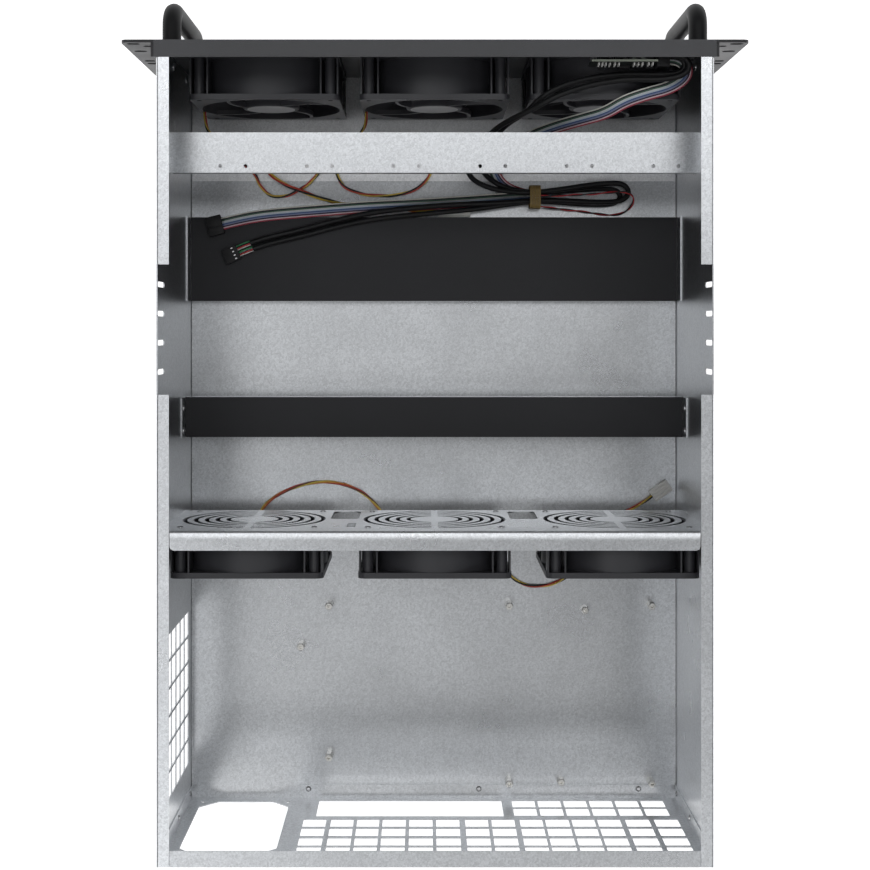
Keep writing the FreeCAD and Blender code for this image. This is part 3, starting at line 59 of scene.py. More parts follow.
# ---- wiring routes
cord_routes = {
    "usb_cable_upper": [
        (-0.183, -0.309, 0.157), (-0.193, -0.309, 0.157), (-0.2, -0.302, 0.1555),
        (-0.195, -0.2935, 0.1525), (-0.177, -0.291, 0.149), (-0.15, -0.292, 0.147),
        (-0.122, -0.2875, 0.1465), (-0.096, -0.279, 0.147), (-0.076, -0.2685, 0.139),
        (-0.059, -0.2635, 0.113), (-0.047, -0.258, 0.085), (-0.037, -0.248, 0.06),
        (-0.028, -0.237, 0.038), (-0.031, -0.226, 0.024), (-0.046, -0.2185, 0.0165),
        (-0.066, -0.2148, 0.0142), (-0.088, -0.2143, 0.0144), (-0.11, -0.217, 0.0136),
        (-0.134, -0.221, 0.011), (-0.153, -0.223, 0.0099), (-0.1665, -0.2225, 0.0096),
        (-0.1715, -0.2145, 0.0096), (-0.165, -0.2073, 0.0098), (-0.15, -0.206, 0.0105),
        (-0.13, -0.2066, 0.012), (-0.108, -0.2076, 0.0142), (-0.088, -0.2074, 0.0144),
        (-0.062, -0.2054, 0.015), (-0.034, -0.2043, 0.0159), (-0.004, -0.2028, 0.0166),
        (0.026, -0.2, 0.0171), (0.056, -0.1965, 0.0175), (0.086, -0.1898, 0.0163),
        (0.116, -0.1815, 0.0157), (0.15668, -0.1723, 0.0156), (0.17118, -0.16554, 0.0156),
    ],
    "usb_cable_lower": [
        (-0.183, -0.309, 0.1505), (-0.192, -0.309, 0.1505), (-0.197, -0.303, 0.1495),
        (-0.193, -0.2965, 0.147), (-0.176, -0.296, 0.143), (-0.15, -0.297, 0.1406),
        (-0.122, -0.294, 0.1406), (-0.098, -0.287, 0.1408), (-0.084, -0.2785, 0.14),
        (-0.075, -0.2695, 0.125), (-0.061, -0.265, 0.094), (-0.05, -0.256, 0.066),
        (-0.041, -0.2455, 0.042), (-0.04, -0.234, 0.024), (-0.05, -0.2245, 0.013),
        (-0.066, -0.2175, 0.0089), (-0.088, -0.2146, 0.009), (-0.11, -0.2155, 0.0084),
        (-0.132, -0.2176, 0.0056), (-0.149, -0.2186, 0.0044), (-0.1605, -0.2176, 0.0043),
        (-0.1645, -0.2115, 0.0043), (-0.16, -0.2058, 0.0044), (-0.147, -0.2042, 0.0049),
        (-0.128, -0.2048, 0.0066), (-0.108, -0.2064, 0.0088), (-0.088, -0.2073, 0.009),
        (-0.06, -0.2036, 0.0096), (-0.032, -0.1996, 0.012), (-0.002, -0.1966, 0.015),
        (0.028, -0.1939, 0.0167), (0.058, -0.1902, 0.0164), (0.086, -0.1841, 0.0158),
        (0.112, -0.1769, 0.0156), (0.15432, -0.16722, 0.0156), (0.16882, -0.16046, 0.0156),
    ],
    "ribbon_cable": [
        (-0.183, -0.309, 0.144), (-0.191, -0.309, 0.144), (-0.1985, -0.303, 0.1436),
        (-0.198, -0.294, 0.142), (-0.186, -0.286, 0.14), (-0.168, -0.2815, 0.1395),
        (-0.15, -0.2755, 0.139), (-0.136, -0.2675, 0.129), (-0.12, -0.2655, 0.108),
        (-0.099, -0.262, 0.086), (-0.078, -0.256, 0.064), (-0.06, -0.246, 0.042),
        (-0.051, -0.236, 0.0195), (-0.055, -0.2265, 0.0068), (-0.065, -0.2175, 0.0032),
        (-0.084, -0.212, 0.0027), (-0.098, -0.2117, 0.0026), (-0.1044, -0.2115, 0.002),
        (-0.1044, -0.2115, 0.0052), (-0.098, -0.2115, 0.0051), (-0.084, -0.2109, 0.0049),
        (-0.06, -0.2094, 0.0052), (-0.03, -0.2071, 0.0066), (0, -0.2049, 0.0096),
        (0.028, -0.2033, 0.0124), (0.056, -0.2019, 0.014), (0.088, -0.1996, 0.0141),
        (0.12, -0.197, 0.0142), (0.148, -0.1946, 0.0146), (0.16848, -0.19087, 0.0158),
        (0.184, -0.187, 0.0158),
    ],
    "front_fan_lead_left": [
        (0.193, -0.2783, 0.06), (0.193, -0.271, 0.06), (0.192, -0.264, 0.05), (0.188, -0.257, 0.03),
        (0.18, -0.249, 0.012), (0.167, -0.241, 0.005), (0.157, -0.232, 0.005),
        (0.1525, -0.221, 0.0046), (0.145, -0.2125, 0.0032), (0.133, -0.211, 0.003),
        (0.12, -0.216, 0.0034), (0.107, -0.225, 0.0048), (0.099, -0.235, 0.0054),
        (0.104, -0.243, 0.0054), (0.116, -0.243, 0.0054),
    ],
    "front_fan_lead_centre": [
        (0.057, -0.2783, 0.06), (0.057, -0.271, 0.06), (0.06, -0.264, 0.05), (0.068, -0.258, 0.03),
        (0.078, -0.251, 0.012), (0.086, -0.241, 0.005), (0.085, -0.229, 0.0049),
        (0.078, -0.219, 0.0044), (0.063, -0.2136, 0.0032), (0.046, -0.2122, 0.003),
        (0.028, -0.2134, 0.0032), (0.013, -0.219, 0.0044), (0.004, -0.2285, 0.005),
        (0.0015, -0.2385, 0.0054), (-0.004, -0.243, 0.0054), (-0.014, -0.243, 0.0054),
    ],
    "fan_power_lead": [
        (0.13, -0.243, 0.0052), (0.141, -0.243, 0.0052), (0.147, -0.238, 0.0052),
        (0.143, -0.23, 0.0064), (0.131, -0.222, 0.009), (0.115, -0.2155, 0.0084),
        (0.098, -0.2096, 0.0054), (0.082, -0.2054, 0.0034), (0.062, -0.2036, 0.0031),
        (0.042, -0.202, 0.0032), (0.022, -0.2, 0.0042), (0.008, -0.198, 0.0052),
        (-0.004, -0.198, 0.0052),
    ],
    "lamp_pair": [
        (-0.088, -0.2032, 0.01), (-0.099, -0.202, 0.0075), (-0.113, -0.2004, 0.005),
        (-0.128, -0.199, 0.0032), (-0.144, -0.1966, 0.0027), (-0.158, -0.1951, 0.0026),
        (-0.1685, -0.198, 0.0045), (-0.174, -0.204, 0.009), (-0.1745, -0.211, 0.0142),
        (-0.1675, -0.215, 0.0154), (-0.156, -0.2145, 0.0153), (-0.14, -0.213, 0.0152),
        (-0.122, -0.212, 0.0158), (-0.104, -0.2112, 0.0176), (-0.088, -0.2109, 0.0181),
    ],
    "middle_fan_lead_left": [
        (0.15, 0.08, 0.0375), (0.15, 0.08, 0.026), (0.1515, 0.074, 0.014), (0.152, 0.063, 0.0055),
        (0.142, 0.053, 0.0032), (0.125, 0.044, 0.0028), (0.104, 0.0386, 0.0028),
        (0.084, 0.0394, 0.0028), (0.065, 0.046, 0.0028), (0.051, 0.058, 0.0029), (0.042, 0.071, 0.004),
        (0.032, 0.08, 0.0046), (0.02, 0.08, 0.0046),
    ],
    "middle_fan_lead_centre": [
        (-0.05, 0.08, 0.0375), (-0.05, 0.08, 0.026), (-0.052, 0.087, 0.014), (-0.056, 0.098, 0.006),
        (-0.061, 0.112, 0.0032), (-0.07, 0.125, 0.0028), (-0.084, 0.131, 0.0028),
        (-0.102, 0.13, 0.0028), (-0.117, 0.123, 0.0028), (-0.127, 0.111, 0.0032),
        (-0.131, 0.099, 0.0046), (-0.131, 0.088, 0.0046),
    ],
    "middle_fan_lead_right": [
        (-0.15, 0.08, 0.0375), (-0.15, 0.08, 0.026), (-0.152, 0.075, 0.014), (-0.157, 0.069, 0.0065),
        (-0.167, 0.0645, 0.0052), (-0.18013, 0.05923, 0.0052), (-0.1916, 0.0512, 0.0052),
    ],
}


# ---- node helpers
def feed(tree, node, inputs):
    """Set a node's sockets, each from a value or from another node's output."""
    for key, value in dict(inputs).items():
        if isinstance(value, bpy.types.NodeSocket):
            tree.links.new(value, node.inputs[key])
        else:
            node.inputs[key].default_value = value


def add_node(tree, kind, inputs=(), **settings):
    """A new node with its settings and what its sockets are fed."""
    node = tree.nodes.new(kind)
    for key, value in settings.items():
        setattr(node, key, value)
    feed(tree, node, inputs)
    return node


def output(tree, kind, inputs=(), **settings):
    """The first output of a new node."""
    return add_node(tree, kind, inputs, **settings).outputs[0]


def maths(tree, operation, *values):
    """What a maths node makes of its values."""
    return output(tree, "ShaderNodeMath", enumerate(values), operation=operation)


def spread(tree, value, low, high, to_low=0.0, to_high=1.0, shape="LINEAR"):
    """A value carried over from one range to another."""
    ends = {"Value": value, "From Min": low, "From Max": high, "To Min": to_low, "To Max": to_high}
    return output(tree, "ShaderNodeMapRange", ends, interpolation_type=shape)


def noise(tree, place, scale, detail, roughness=0.5):
    """Cloudy noise over a place."""
    values = {"Vector": place, "Scale": scale, "Detail": detail, "Roughness": roughness}
    return output(tree, "ShaderNodeTexNoise", values)


# ---- shared surface effects
def start_effect(name, values):
    """A group that takes a place and named values, and gives a tone, a roughness and a height."""
    tree = bpy.data.node_groups.new(name, "ShaderNodeTree")
    sockets = tree.interface
    sockets.new_socket("Vector", in_out="INPUT", socket_type="NodeSocketVector")
    for label, value in values.items():
        sockets.new_socket(label, in_out="INPUT", socket_type="NodeSocketFloat").default_value = value
    for label, kind in (("Tone", "Color"), ("Roughness", "Float"), ("Height", "Float")):
        sockets.new_socket(label, in_out="OUTPUT", socket_type=f"NodeSocket{kind}")
    return tree, tree.nodes.new("NodeGroupInput").outputs


def make_zinc_bloom():
    """Crystal patches of zinc plating, and a painted highlight: another tone above a given height, standing
    in for the light that the top rim catches while the floor below is shaded.
    """
    values = {"Scale": 260.0, "Dark": 0.8, "Rough low": 0.3, "Rough high": 0.45, "Rubbed above": 1.0,
              "Rubbed tone": 1.0}
    tree, given = start_effect("zinc_bloom", values)
    place = given["Vector"]
    patches = add_node(tree, "ShaderNodeTexVoronoi", {"Vector": place, "Scale": given["Scale"]})
    grey = output(tree, "ShaderNodeRGBToBW", {0: patches.outputs["Color"]})
    cloud = noise(tree, place, 9.0, 4.0, 0.6)
    grain = noise(tree, place, 900.0, 2.0)
    speck = maths(tree, "ADD", maths(tree, "MULTIPLY", grey, cloud), grain)
    tone = spread(tree, speck, 0.45, 1.05, given["Dark"])
    height = add_node(tree, "ShaderNodeSeparateXYZ", {0: place}).outputs["Z"]
    # painted highlight: above this height the tone is raised to stand in for the light on the rim
    above = maths(tree, "GREATER_THAN", height, given["Rubbed above"])
    add_node(tree, "NodeGroupOutput", {
        "Tone": maths(tree, "MULTIPLY", tone, spread(tree, above, 0.0, 1.0, 1.0, given["Rubbed tone"])),
        "Roughness": spread(tree, cloud, 0.3, 0.7, given["Rough low"], given["Rough high"]),
        "Height": maths(tree, "ADD", grey, grain)})
    return tree


def make_surface_grain():
    """Fine even grain of moulded or sprayed surfaces, with a slow change of tone over it."""
    values = {"Scale": 1500.0, "Dark": 0.75, "Rough low": 0.45, "Rough high": 0.6}
    tree, given = start_effect("surface_grain", values)
    fine = noise(tree, given["Vector"], given["Scale"], 3.0)
    slow = noise(tree, given["Vector"], 14.0, 3.0)
    add_node(tree, "NodeGroupOutput", {
        "Tone": spread(tree, maths(tree, "ADD", fine, slow), 0.75, 1.25, given["Dark"]),
        "Roughness": spread(tree, slow, 0.35, 0.65, given["Rough low"], given["Rough high"]),
        "Height": fine})
    return tree


zinc_bloom = make_zinc_bloom()
surface_grain = make_surface_grain()


# ---- materials
def band_colours(tree, colours):
    """Even bands of colour across a piece's own UV map."""
    across = output(tree, "ShaderNodeSeparateXYZ", {0: output(tree, "ShaderNodeUVMap", uv_map="bands")})
    node = add_node(tree, "ShaderNodeValToRGB", {0: across})
    node.color_ramp.interpolation = "CONSTANT"
    stops = node.color_ramp.elements
    while len(stops) < len(colours):
        stops.new(0.5)
    for index, (stop, colour) in enumerate(zip(stops, colours)):
        stop.position = index / len(colours)
        stop.color = (*colour, 1)
    return node.outputs[0]


def finish(name, colour, scale, dark, rough, bump, group=surface_grain, metallic=0.0, depth=0.00005,
           specular=0.5, bands=None, more=()):
    """A material from a shared group, by its scale, darkest tone, least and most roughness, and bump."""
    material = bpy.data.materials.new(name)
    material.use_nodes = True
    material.diffuse_color = (*colour, 1)
    tree = material.node_tree
    place = add_node(tree, "ShaderNodeTexCoord").outputs["Object"]
    values = {"Vector": place, "Scale": scale, "Dark": dark, "Rough low": rough[0], "Rough high": rough[1]}
    given = add_node(tree, "ShaderNodeGroup", {**values, **dict(more)}, node_tree=group).outputs
    base = band_colours(tree, bands) if bands else (*colour, 1)
    tinted = add_node(tree, "ShaderNodeMix", {0: 1.0, 6: base, 7: given["Tone"]}, data_type="RGBA",
                      blend_type="MULTIPLY")
    raised = output(tree, "ShaderNodeBump", {"Height": given["Height"], "Strength": bump, "Distance": depth})
    feed(tree, tree.nodes["Principled BSDF"], {
        "Base Color": tinted.outputs[2], "Roughness": given["Roughness"], "Normal": raised,
        "Metallic": metallic, "Specular IOR Level": specular})
    return material


zinc = {"group": zinc_bloom, "metallic": 1.0}
# painted highlight: the tray's rim above this height is made lighter, standing in for the light it catches
# while the floor inside the case is shaded
painted_rim_highlight = {"Rubbed above": 0.1755, "Rubbed tone": 1.18}
sheet_zinc = ((0.72, 0.735, 0.755), 620, 0.74, (0.26, 0.33), 0.06)
zinc_steel = finish("zinc_steel", *sheet_zinc, **zinc)
tray_steel = finish("tray_steel", *sheet_zinc, **zinc, more=painted_rim_highlight)
pale_steel = finish("pale_steel", (0.96, 0.965, 0.98), 620, 0.8, (0.42, 0.5), 0.05, zinc_bloom, 0.85)
plated_steel = finish("plated_steel", (0.74, 0.74, 0.75), 900, 0.88, (0.22, 0.34), 0.05, **zinc)
panel_black = finish("panel_black", (0.118, 0.119, 0.127), 1700, 0.6, (0.42, 0.55), 0.7, depth=0.0002)
ear_grey = finish("ear_grey", (0.055, 0.054, 0.058), 1700, 0.7, (0.4, 0.52), 0.4, depth=0.0001, specular=0.35)
handle_black = finish("handle_black", (0.014, 0.014, 0.015), 2600, 0.8, (0.42, 0.52), 0.1, specular=0.18)
fan_black = finish("fan_black", (0.047, 0.047, 0.054), 2200, 0.75, (0.38, 0.52), 0.15)
rotor_black = finish("rotor_black", (0.028, 0.028, 0.032), 2200, 0.8, (0.34, 0.45), 0.1)
label_grey = finish("label_grey", (0.56, 0.555, 0.56), 900, 0.85, (0.3, 0.4), 0.04)
pad_black = finish("pad_black", (0.05, 0.05, 0.054), 2600, 0.7, (0.7, 0.85), 0.4, depth=0.0001, specular=0.3)
board_black = finish("board_black", (0.022, 0.026, 0.025), 900, 0.75, (0.3, 0.4), 0.1)
board_edge = finish("board_edge", (0.55, 0.60, 0.50), 900, 0.85, (0.5, 0.6), 0.05)
connector_black = finish("connector_black", (0.016, 0.016, 0.017), 3000, 0.8, (0.4, 0.5), 0.1, specular=0.28)
connector_shell = finish("connector_shell", (0.72, 0.72, 0.73), 1200, 0.9, (0.2, 0.3), 0.05, metallic=1.0)
spacer_steel = finish("spacer_steel", (0.78, 0.77, 0.74), 1500, 0.85, (0.25, 0.36), 0.08, metallic=1.0)
clear_lens = finish("clear_lens", (0.75, 0.8, 0.74), 800, 0.92, (0.1, 0.16), 0.02)
cable_jacket = finish("cable_jacket", (0.014, 0.014, 0.015), 1800, 0.8, (0.3, 0.42), 0.12, specular=0.24)
nylon_white = finish("nylon_white", (0.95, 0.94, 0.9), 900, 0.92, (0.35, 0.45), 0.05)
tie_brown = finish("tie_brown", (0.33, 0.22, 0.07), 1400, 0.65, (0.45, 0.6), 0.3)

ribbon_tints = (
    (0.45, 0.06, 0.09), (0.92, 0.72, 0.76), (0.04, 0.03, 0.07), (0.32, 0.36, 0.54), (0.10, 0.17, 0.38),
    (0.72, 0.80, 0.88), (0.84, 0.85, 0.86), (0.10, 0.20, 0.14), (0.04, 0.04, 0.05), (0.94, 0.92, 0.84),
)
flat_cable = finish("flat_cable", (0.5, 0.5, 0.5), 1500, 0.88, (0.3, 0.42), 0.05, bands=ribbon_tints)
wire_tints = {
    "power": ((0.88, 0.64, 0.09), (0.02, 0.02, 0.02), (0.68, 0.08, 0.05)),
    "fan": ((0.90, 0.66, 0.12), (0.64, 0.09, 0.06), (0.02, 0.02, 0.02)),
    "warm": ((0.22, 0.09, 0.05), (0.66, 0.09, 0.06), (0.82, 0.32, 0.07), (0.88, 0.68, 0.12)),
    "lamp": ((0.60, 0.04, 0.05), (0.02, 0.02, 0.02)),
    "data": ((0.80, 0.78, 0.75), (0.62, 0.05, 0.05), (0.80, 0.78, 0.75), (0.05, 0.30, 0.12)),
}
wire_materials = {key: finish(f"wires_{key}", tints[0], 1500, 0.88, (0.32, 0.44), 0.05, bands=tints)
                  for key, tints in wire_tints.items()}

shown_solids = {
    "chassis_tray": tray_steel, "rear_panel": zinc_steel, "card_beam": zinc_steel,
    "front_riser_tray": zinc_steel, "rear_riser_rail": zinc_steel, "front_base_plate": pale_steel,
    "front_panel": panel_black, "front_riser_pad": pad_black, "rear_riser_pad": pad_black,
    "board_posts": plated_steel, "usb_ports": connector_shell, "switch_bodies": connector_black,
    "power_button": connector_black, "reset_button": connector_black, "indicator_lenses": clear_lens,
    "hidden_lead_plugs": nylon_white,
}
for name, material in shown_solids.items():
    for slot in bpy.data.objects[name].material_slots:
        slot.material = material


# ---- camera and light
camera_place = (0.00771, -0.0954, 1.371)
camera_lens = 64.43
camera_shift = (0.0115, -0.1218)
camera_reach = 100.0

even_glow = 0.02
horizon_glow = 0.75
horizon_rise = (0.45, 0.2)
sky_softness = 0.08
sky_tint = (0.98, 0.99, 1, 1)
# each panel fills a range of directions along X and one along Y, and has its own strength
sky_panels = (
    (0.08, 0.42, -0.06, 0.6, 1.1),
    (-0.6, 0.6, -0.45, -0.06, 1.83),
    (-0.6, 0.6, 0.28, 0.6, 0.99),
    (-0.6, -0.12, -0.06, 0.6, 0.37),
    (-0.12, 0.08, -0.06, 0.28, 0.7),
)
floor_reach = 40.0
floor_z = -0.002
floor_glow = 0.85


def add_object(name, data):
    """An object in the scene."""
    item = bpy.data.objects.new(name, data)
    bpy.context.scene.collection.objects.link(item)
    return item


def add_camera():
    """A camera high over the case, turned so that the front of the case is at the top."""
    camera = add_object("camera", bpy.data.cameras.new("camera"))
    camera.matrix_world = Matrix.Translation(camera_place) @ Matrix.Rotation(math.pi, 4, "Z")
    camera.data.lens = camera_lens
    camera.data.shift_x, camera.data.shift_y = camera_shift
    camera.data.clip_end = camera_reach
    bpy.context.scene.camera = camera


def sky_window(tree, value, low, high):
    """One inside a range of a direction, falling softly to nought past its ends."""
    rise = spread(tree, value, low, low + sky_softness, shape="SMOOTHSTEP")
    fall = spread(tree, value, high, high - sky_softness, shape="SMOOTHSTEP")
    return maths(tree, "MULTIPLY", rise, fall)


def add_sky():
    """Soft studio surround: an even glow, a horizon glow, and broad panels given by their directions."""
    world = bpy.data.worlds.new("studio")
    bpy.context.scene.world = world
    world.use_nodes = True
    tree = world.node_tree
    place = add_node(tree, "ShaderNodeTexCoord").outputs["Generated"]
    along_x, along_y, along_z = add_node(tree, "ShaderNodeSeparateXYZ", {0: place}).outputs
    total = even_glow
    for x0, x1, y0, y1, strength in sky_panels:
        both = maths(tree, "MULTIPLY", sky_window(tree, along_x, x0, x1), sky_window(tree, along_y, y0, y1))
        total = maths(tree, "MULTIPLY_ADD", both, strength, total)
    low_down = spread(tree, along_z, *horizon_rise, shape="SMOOTHSTEP")
    total = maths(tree, "MULTIPLY_ADD", low_down, horizon_glow, total)
    feed(tree, tree.nodes["Background"], {0: sky_tint, 1: total})


def add_studio_floor():
    """A wide pale floor just under the case."""
    mesh = bpy.data.meshes.new("studio_floor")
    corners = [(i * floor_reach, j * floor_reach, floor_z) for i, j in ((-1, -1), (1, -1), (1, 1), (-1, 1))]
    mesh.from_pydata(corners, [], [(0, 1, 2, 3)])
    add_object("studio_floor", mesh)
    pale = bpy.data.materials.new("pale_floor")
    pale.use_nodes = True
    feed(pale.node_tree, pale.node_tree.nodes["Principled BSDF"], {
        "Base Color": (0.95, 0.95, 0.95, 1), "Roughness": 0.95, "Specular IOR Level": 0.1,
        "Emission Color": (1, 1, 1, 1), "Emission Strength": floor_glow})
    mesh.materials.append(pale)


add_camera()
add_sky()
add_studio_floor()
bpy.context.scene.view_settings.view_transform = "Standard"


# ---- shapes
def turned(place, x_axis, y_axis, z_axis):
    """A placement from a point and three directions."""
    matrix = Matrix((x_axis, y_axis, z_axis)).transposed().to_4x4()
    matrix.translation = place
    return matrix


def facing_y(place):
    """Outlines drawn across and up, with their thickness along +Y."""
    return turned(place, (1, 0, 0), (0, 0, 1), (0, 1, 0))


def circle(radius, sides, across=0.0, up=0.0, start=0.0, sweep=full_turn):
    """Points of a circle, or of an arc of it with both its ends."""
    steps = sides if sweep == full_turn else sides - 1
    angles = [start + sweep * i / steps for i in range(sides)]
    return [(across + radius * math.cos(angle), up + radius * math.sin(angle)) for angle in angles]


def rounded_outline(half_across, half_up, corner, sides=6, across=0.0, up=0.0):
    """A rectangle with rounded corners, each of so many points."""
    outline = []
    for turn, (i, j) in enumerate(((1, 1), (-1, 1), (-1, -1), (1, -1))):
        outline += circle(corner, sides, across + i * (half_across - corner), up + j * (half_up - corner),
                          turn * quarter_turn, quarter_turn)
    return outline


def new_piece(name, mesh, materials, body="case"):
    """A visible piece that rides on a body."""
    piece = add_object(name, mesh)
    for material in materials:
        mesh.materials.append(material)
    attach(piece, body)
    return piece


def mesh_from(shape, name):
    """The mesh of a shape that is then let go."""
    mesh = bpy.data.meshes.new(name)
    shape.to_mesh(mesh)
    shape.free()
    return mesh


def join_rings(shape, rings, closed=False):
    """Side faces between rings of points, and the two end faces unless the last ring meets the first."""
    rings = [[shape.verts.new(at) for at in ring] for ring in rings]
    following = rings[1:] + rings[:1] if closed else rings[1:]
    sides = []
    for first, second in zip(rings, following):
        for k in range(len(first)):
            after = (k + 1) % len(first)
            sides.append(shape.faces.new((first[k], first[after], second[after], second[k])))
    ends = [] if closed else [shape.faces.new(rings[0][::-1]), shape.faces.new(rings[-1])]
    return sides, ends


def add_sweep(shape, rings, slot=0, closed=False):
    """Rings of points joined in the shape, in one material slot."""
    sides, ends = join_rings(shape, rings, closed)
    for face in sides + ends:
        face.material_index = slot


def add_lathe(shape, profile, sides, placement, slot=0, closed=True):
    """A profile of (radius, depth) points turned round the placement's own Z axis."""
    rings = [[placement @ Vector((x, y, depth)) for x, y in circle(radius, sides)]
             for radius, depth in profile]
    add_sweep(shape, rings, slot, closed)


def add_mesh(shape, mesh, slot=0):
    """A mesh taken into the shape, in one material slot."""
    first = len(shape.faces)
    shape.from_mesh(mesh)
    bpy.data.meshes.remove(mesh)
    shape.faces.ensure_lookup_table()
    for face in shape.faces[first:]:
        face.material_index = slot


def add_plate(shape, outlines, thickness, placement):
    """A flat plate from its outline and the outlines of its openings."""
    flat = bpy.data.curves.new("plate", "CURVE")
    flat.dimensions = "2D"
    flat.fill_mode = "BOTH"
    flat.extrude = thickness / 2
    for outline in outlines:
        spline = flat.splines.new("POLY")
        spline.points.add(len(outline) - 1)
        for point, (across, up) in zip(spline.points, outline):
            point.co = (across, up, 0, 1)
        spline.use_cyclic_u = True
    holder = add_object("plate", flat)
    mesh = bpy.data.meshes.new_from_object(holder)
    bpy.data.objects.remove(holder)
    bpy.data.curves.remove(flat)
    mesh.transform(placement @ Matrix.Translation((0, 0, thickness / 2)))
    add_mesh(shape, mesh)


def add_block(shape, low, high, placement=Matrix(), round_by=0.0, slot=0):
    """A block between two corners, its edges taken off by round_by."""
    block = bmesh.new()
    bmesh.ops.create_cube(block, size=1)
    for vert in block.verts:
        vert.co = Vector([(a + b) / 2 + c * (b - a) for a, b, c in zip(low, high, vert.co)])
    if round_by:
        bmesh.ops.bevel(block, geom=block.edges[:], offset=round_by, segments=2, profile=0.5, affect="EDGES")
    mesh = mesh_from(block, "block")
    mesh.transform(placement)
    add_mesh(shape, mesh, slot)


def close_shape(shape, name, materials, node=None, body="case", smooth_below=40):
    """The piece made from a finished shape, in place of a node; gentle edges are smooth."""
    bmesh.ops.remove_doubles(shape, verts=shape.verts, dist=merge_distance)
    bmesh.ops.recalc_face_normals(shape, faces=shape.faces)
    for face in shape.faces:
        face.smooth = True
    for edge in shape.edges:
        edge.smooth = len(edge.link_faces) == 2 and edge.calc_face_angle(4) < math.radians(smooth_below)
    piece = new_piece(name, mesh_from(shape, name), materials, body)
    if node:
        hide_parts(node)


def reached_from(vert, left):
    """All vertices still left that edges join to one of them, taken out of those left."""
    reached = [vert]
    for corner in reached:
        for edge in corner.link_edges:
            for other in edge.verts:
                if other in left:
                    left.discard(other)
                    reached.append(other)
    return reached


def solid_islands(name):
    """Middle and size of each separate part of a solid's mesh."""
    shape = bmesh.new()
    shape.from_mesh(bpy.data.objects[name].data)
    bmesh.ops.remove_doubles(shape, verts=shape.verts, dist=merge_distance)
    left = set(shape.verts)
    found = []
    while left:
        places = [vert.co for vert in reached_from(left.pop(), left)]
        low = Vector(map(min, zip(*places)))
        high = Vector(map(max, zip(*places)))
        found.append(((low + high) / 2, high - low))
    shape.free()
    return sorted(found, key=lambda island: tuple(island[0]))


# ---- wiring
# a run nearer to upright than this keeps the sideways direction it came with
least_level = 0.3
tie_span = (-0.0955, -0.0805)
twist_lift = 0.003
ribbon_wire_share = 0.53
pair_wire_share = 0.25
bundle_wire_share = 0.23
inner_wire_run = 0.016
inner_wire_radius = 0.00055
inner_wire_pitch = 0.0011
inner_wire_lift = 0.0016
inner_wire_step = 0.0006


def route_curve(name, points):
    """A smooth curve that follows a route's points."""
    curve = bpy.data.curves.new(name, "CURVE")
    curve.dimensions = "3D"
    spline = curve.splines.new("NURBS")
    spline.points.add(len(points) - 1)
    for point, place in zip(spline.points, points):
        point.co = (*place, 1)
    spline.order_u = 3
    spline.use_endpoint_u = True
    spline.resolution_u = 8
    return add_object(name, curve)


def centre_line(points):
    """Points read along the smooth curve of a route."""
    guide = route_curve("route_guide", points)
    mesh = bpy.data.meshes.new_from_object(guide)
    line = [vert.co.copy() for vert in mesh.vertices]
    bpy.data.meshes.remove(mesh)
    bpy.data.objects.remove(guide)
    return line


def level_frames(line):
    """For each point: its place, and level sideways and up directions kept steady through folds."""
    frames = []
    side = None
    for i, at in enumerate(line):
        along = (line[min(i + 1, len(line) - 1)] - line[max(i - 1, 0)]).normalized()
        level = along.cross(Vector((0, 0, 1)))
        if side is None:
            side = level.normalized()
        elif level.length > least_level:
            level.normalize()
            side = level if level.dot(side) > 0 else -level
        square = (side - along * along.dot(side)).normalized()
        frames.append((at, square, square.cross(along)))
    return frames


def offset_line(frames, aside, above=0.0):
    """A line that runs beside the frames."""
    return [(at + side * aside + up * above, side, up) for at, side, up in frames]


def twisted_line(frames, radius, start, pitch):
    """A line that winds round the frames at radius, one turn each pitch."""
    wound = []
    travelled = 0.0
    last = frames[0][0]
    for at, side, up in frames:
        travelled += (at - last).length
        last = at
        angle = start + full_turn * travelled / pitch
        wound.append((at + side * radius * math.cos(angle) + up * radius * math.sin(angle), side, up))
    return wound


def turned_over(frames, start_x, end_x):
    """Frames that turn half round while the last run passes between two places along X."""
    fold = min(range(len(frames) // 3, len(frames)), key=lambda i: frames[i][0].x)
    turned_frames = frames[:fold]
    for at, side, up in frames[fold:]:
        part = min(max((at.x - start_x) / (end_x - start_x), 0), 1)
        cosine, sine = math.cos(math.pi * part), math.sin(math.pi * part)
        turned_frames.append((at + Vector((0, 0, twist_lift * sine)), side * cosine + up * sine,
                              up * cosine - side * sine))
    return turned_frames


def strand_tube(name, strands, radius, sides, material):
    """One mesh of round strands; each is a list of frames, and each has its own band in the UV map."""
    shape = bmesh.new()
    bands = shape.loops.layers.uv.new("bands")
    for index, frames in enumerate(strands):
        rings = [[at + side * x + up * z for x, z in circle(radius, sides)] for at, side, up in frames]
        walls, ends = join_rings(shape, rings)
        for face in walls + ends:
            face.smooth = face not in ends
            for loop in face.loops:
                loop[bands].uv = ((index + 0.5) / len(strands), 0.5)
    bmesh.ops.recalc_face_normals(shape, faces=shape.faces)
    return new_piece(name, mesh_from(shape, name), [material])


def lay_cord(cable, name, line, diameter, plug, far_end="plug", stiffness="limp", **more):
    """Let a cord stand for its node by hiding the node; its route line, its plug and what its far end joins
    are not used.
    """
    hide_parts(name)


def add_round_cable(name, plug):
    """A jacketed cable along its route, as far as its plug."""
    points = cord_routes[name]
    cable = route_curve(f"{name}_jacket", points)
    cable.data.bevel_depth = usb_cable_diameter / 2
    cable.data.bevel_resolution = 3
    cable.data.use_fill_caps = True
    cable.data.materials.append(cable_jacket)
    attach(cable, "case")
    lay_cord(cable, name, centre_line(points), usb_cable_diameter, plug, stiffness="medium")


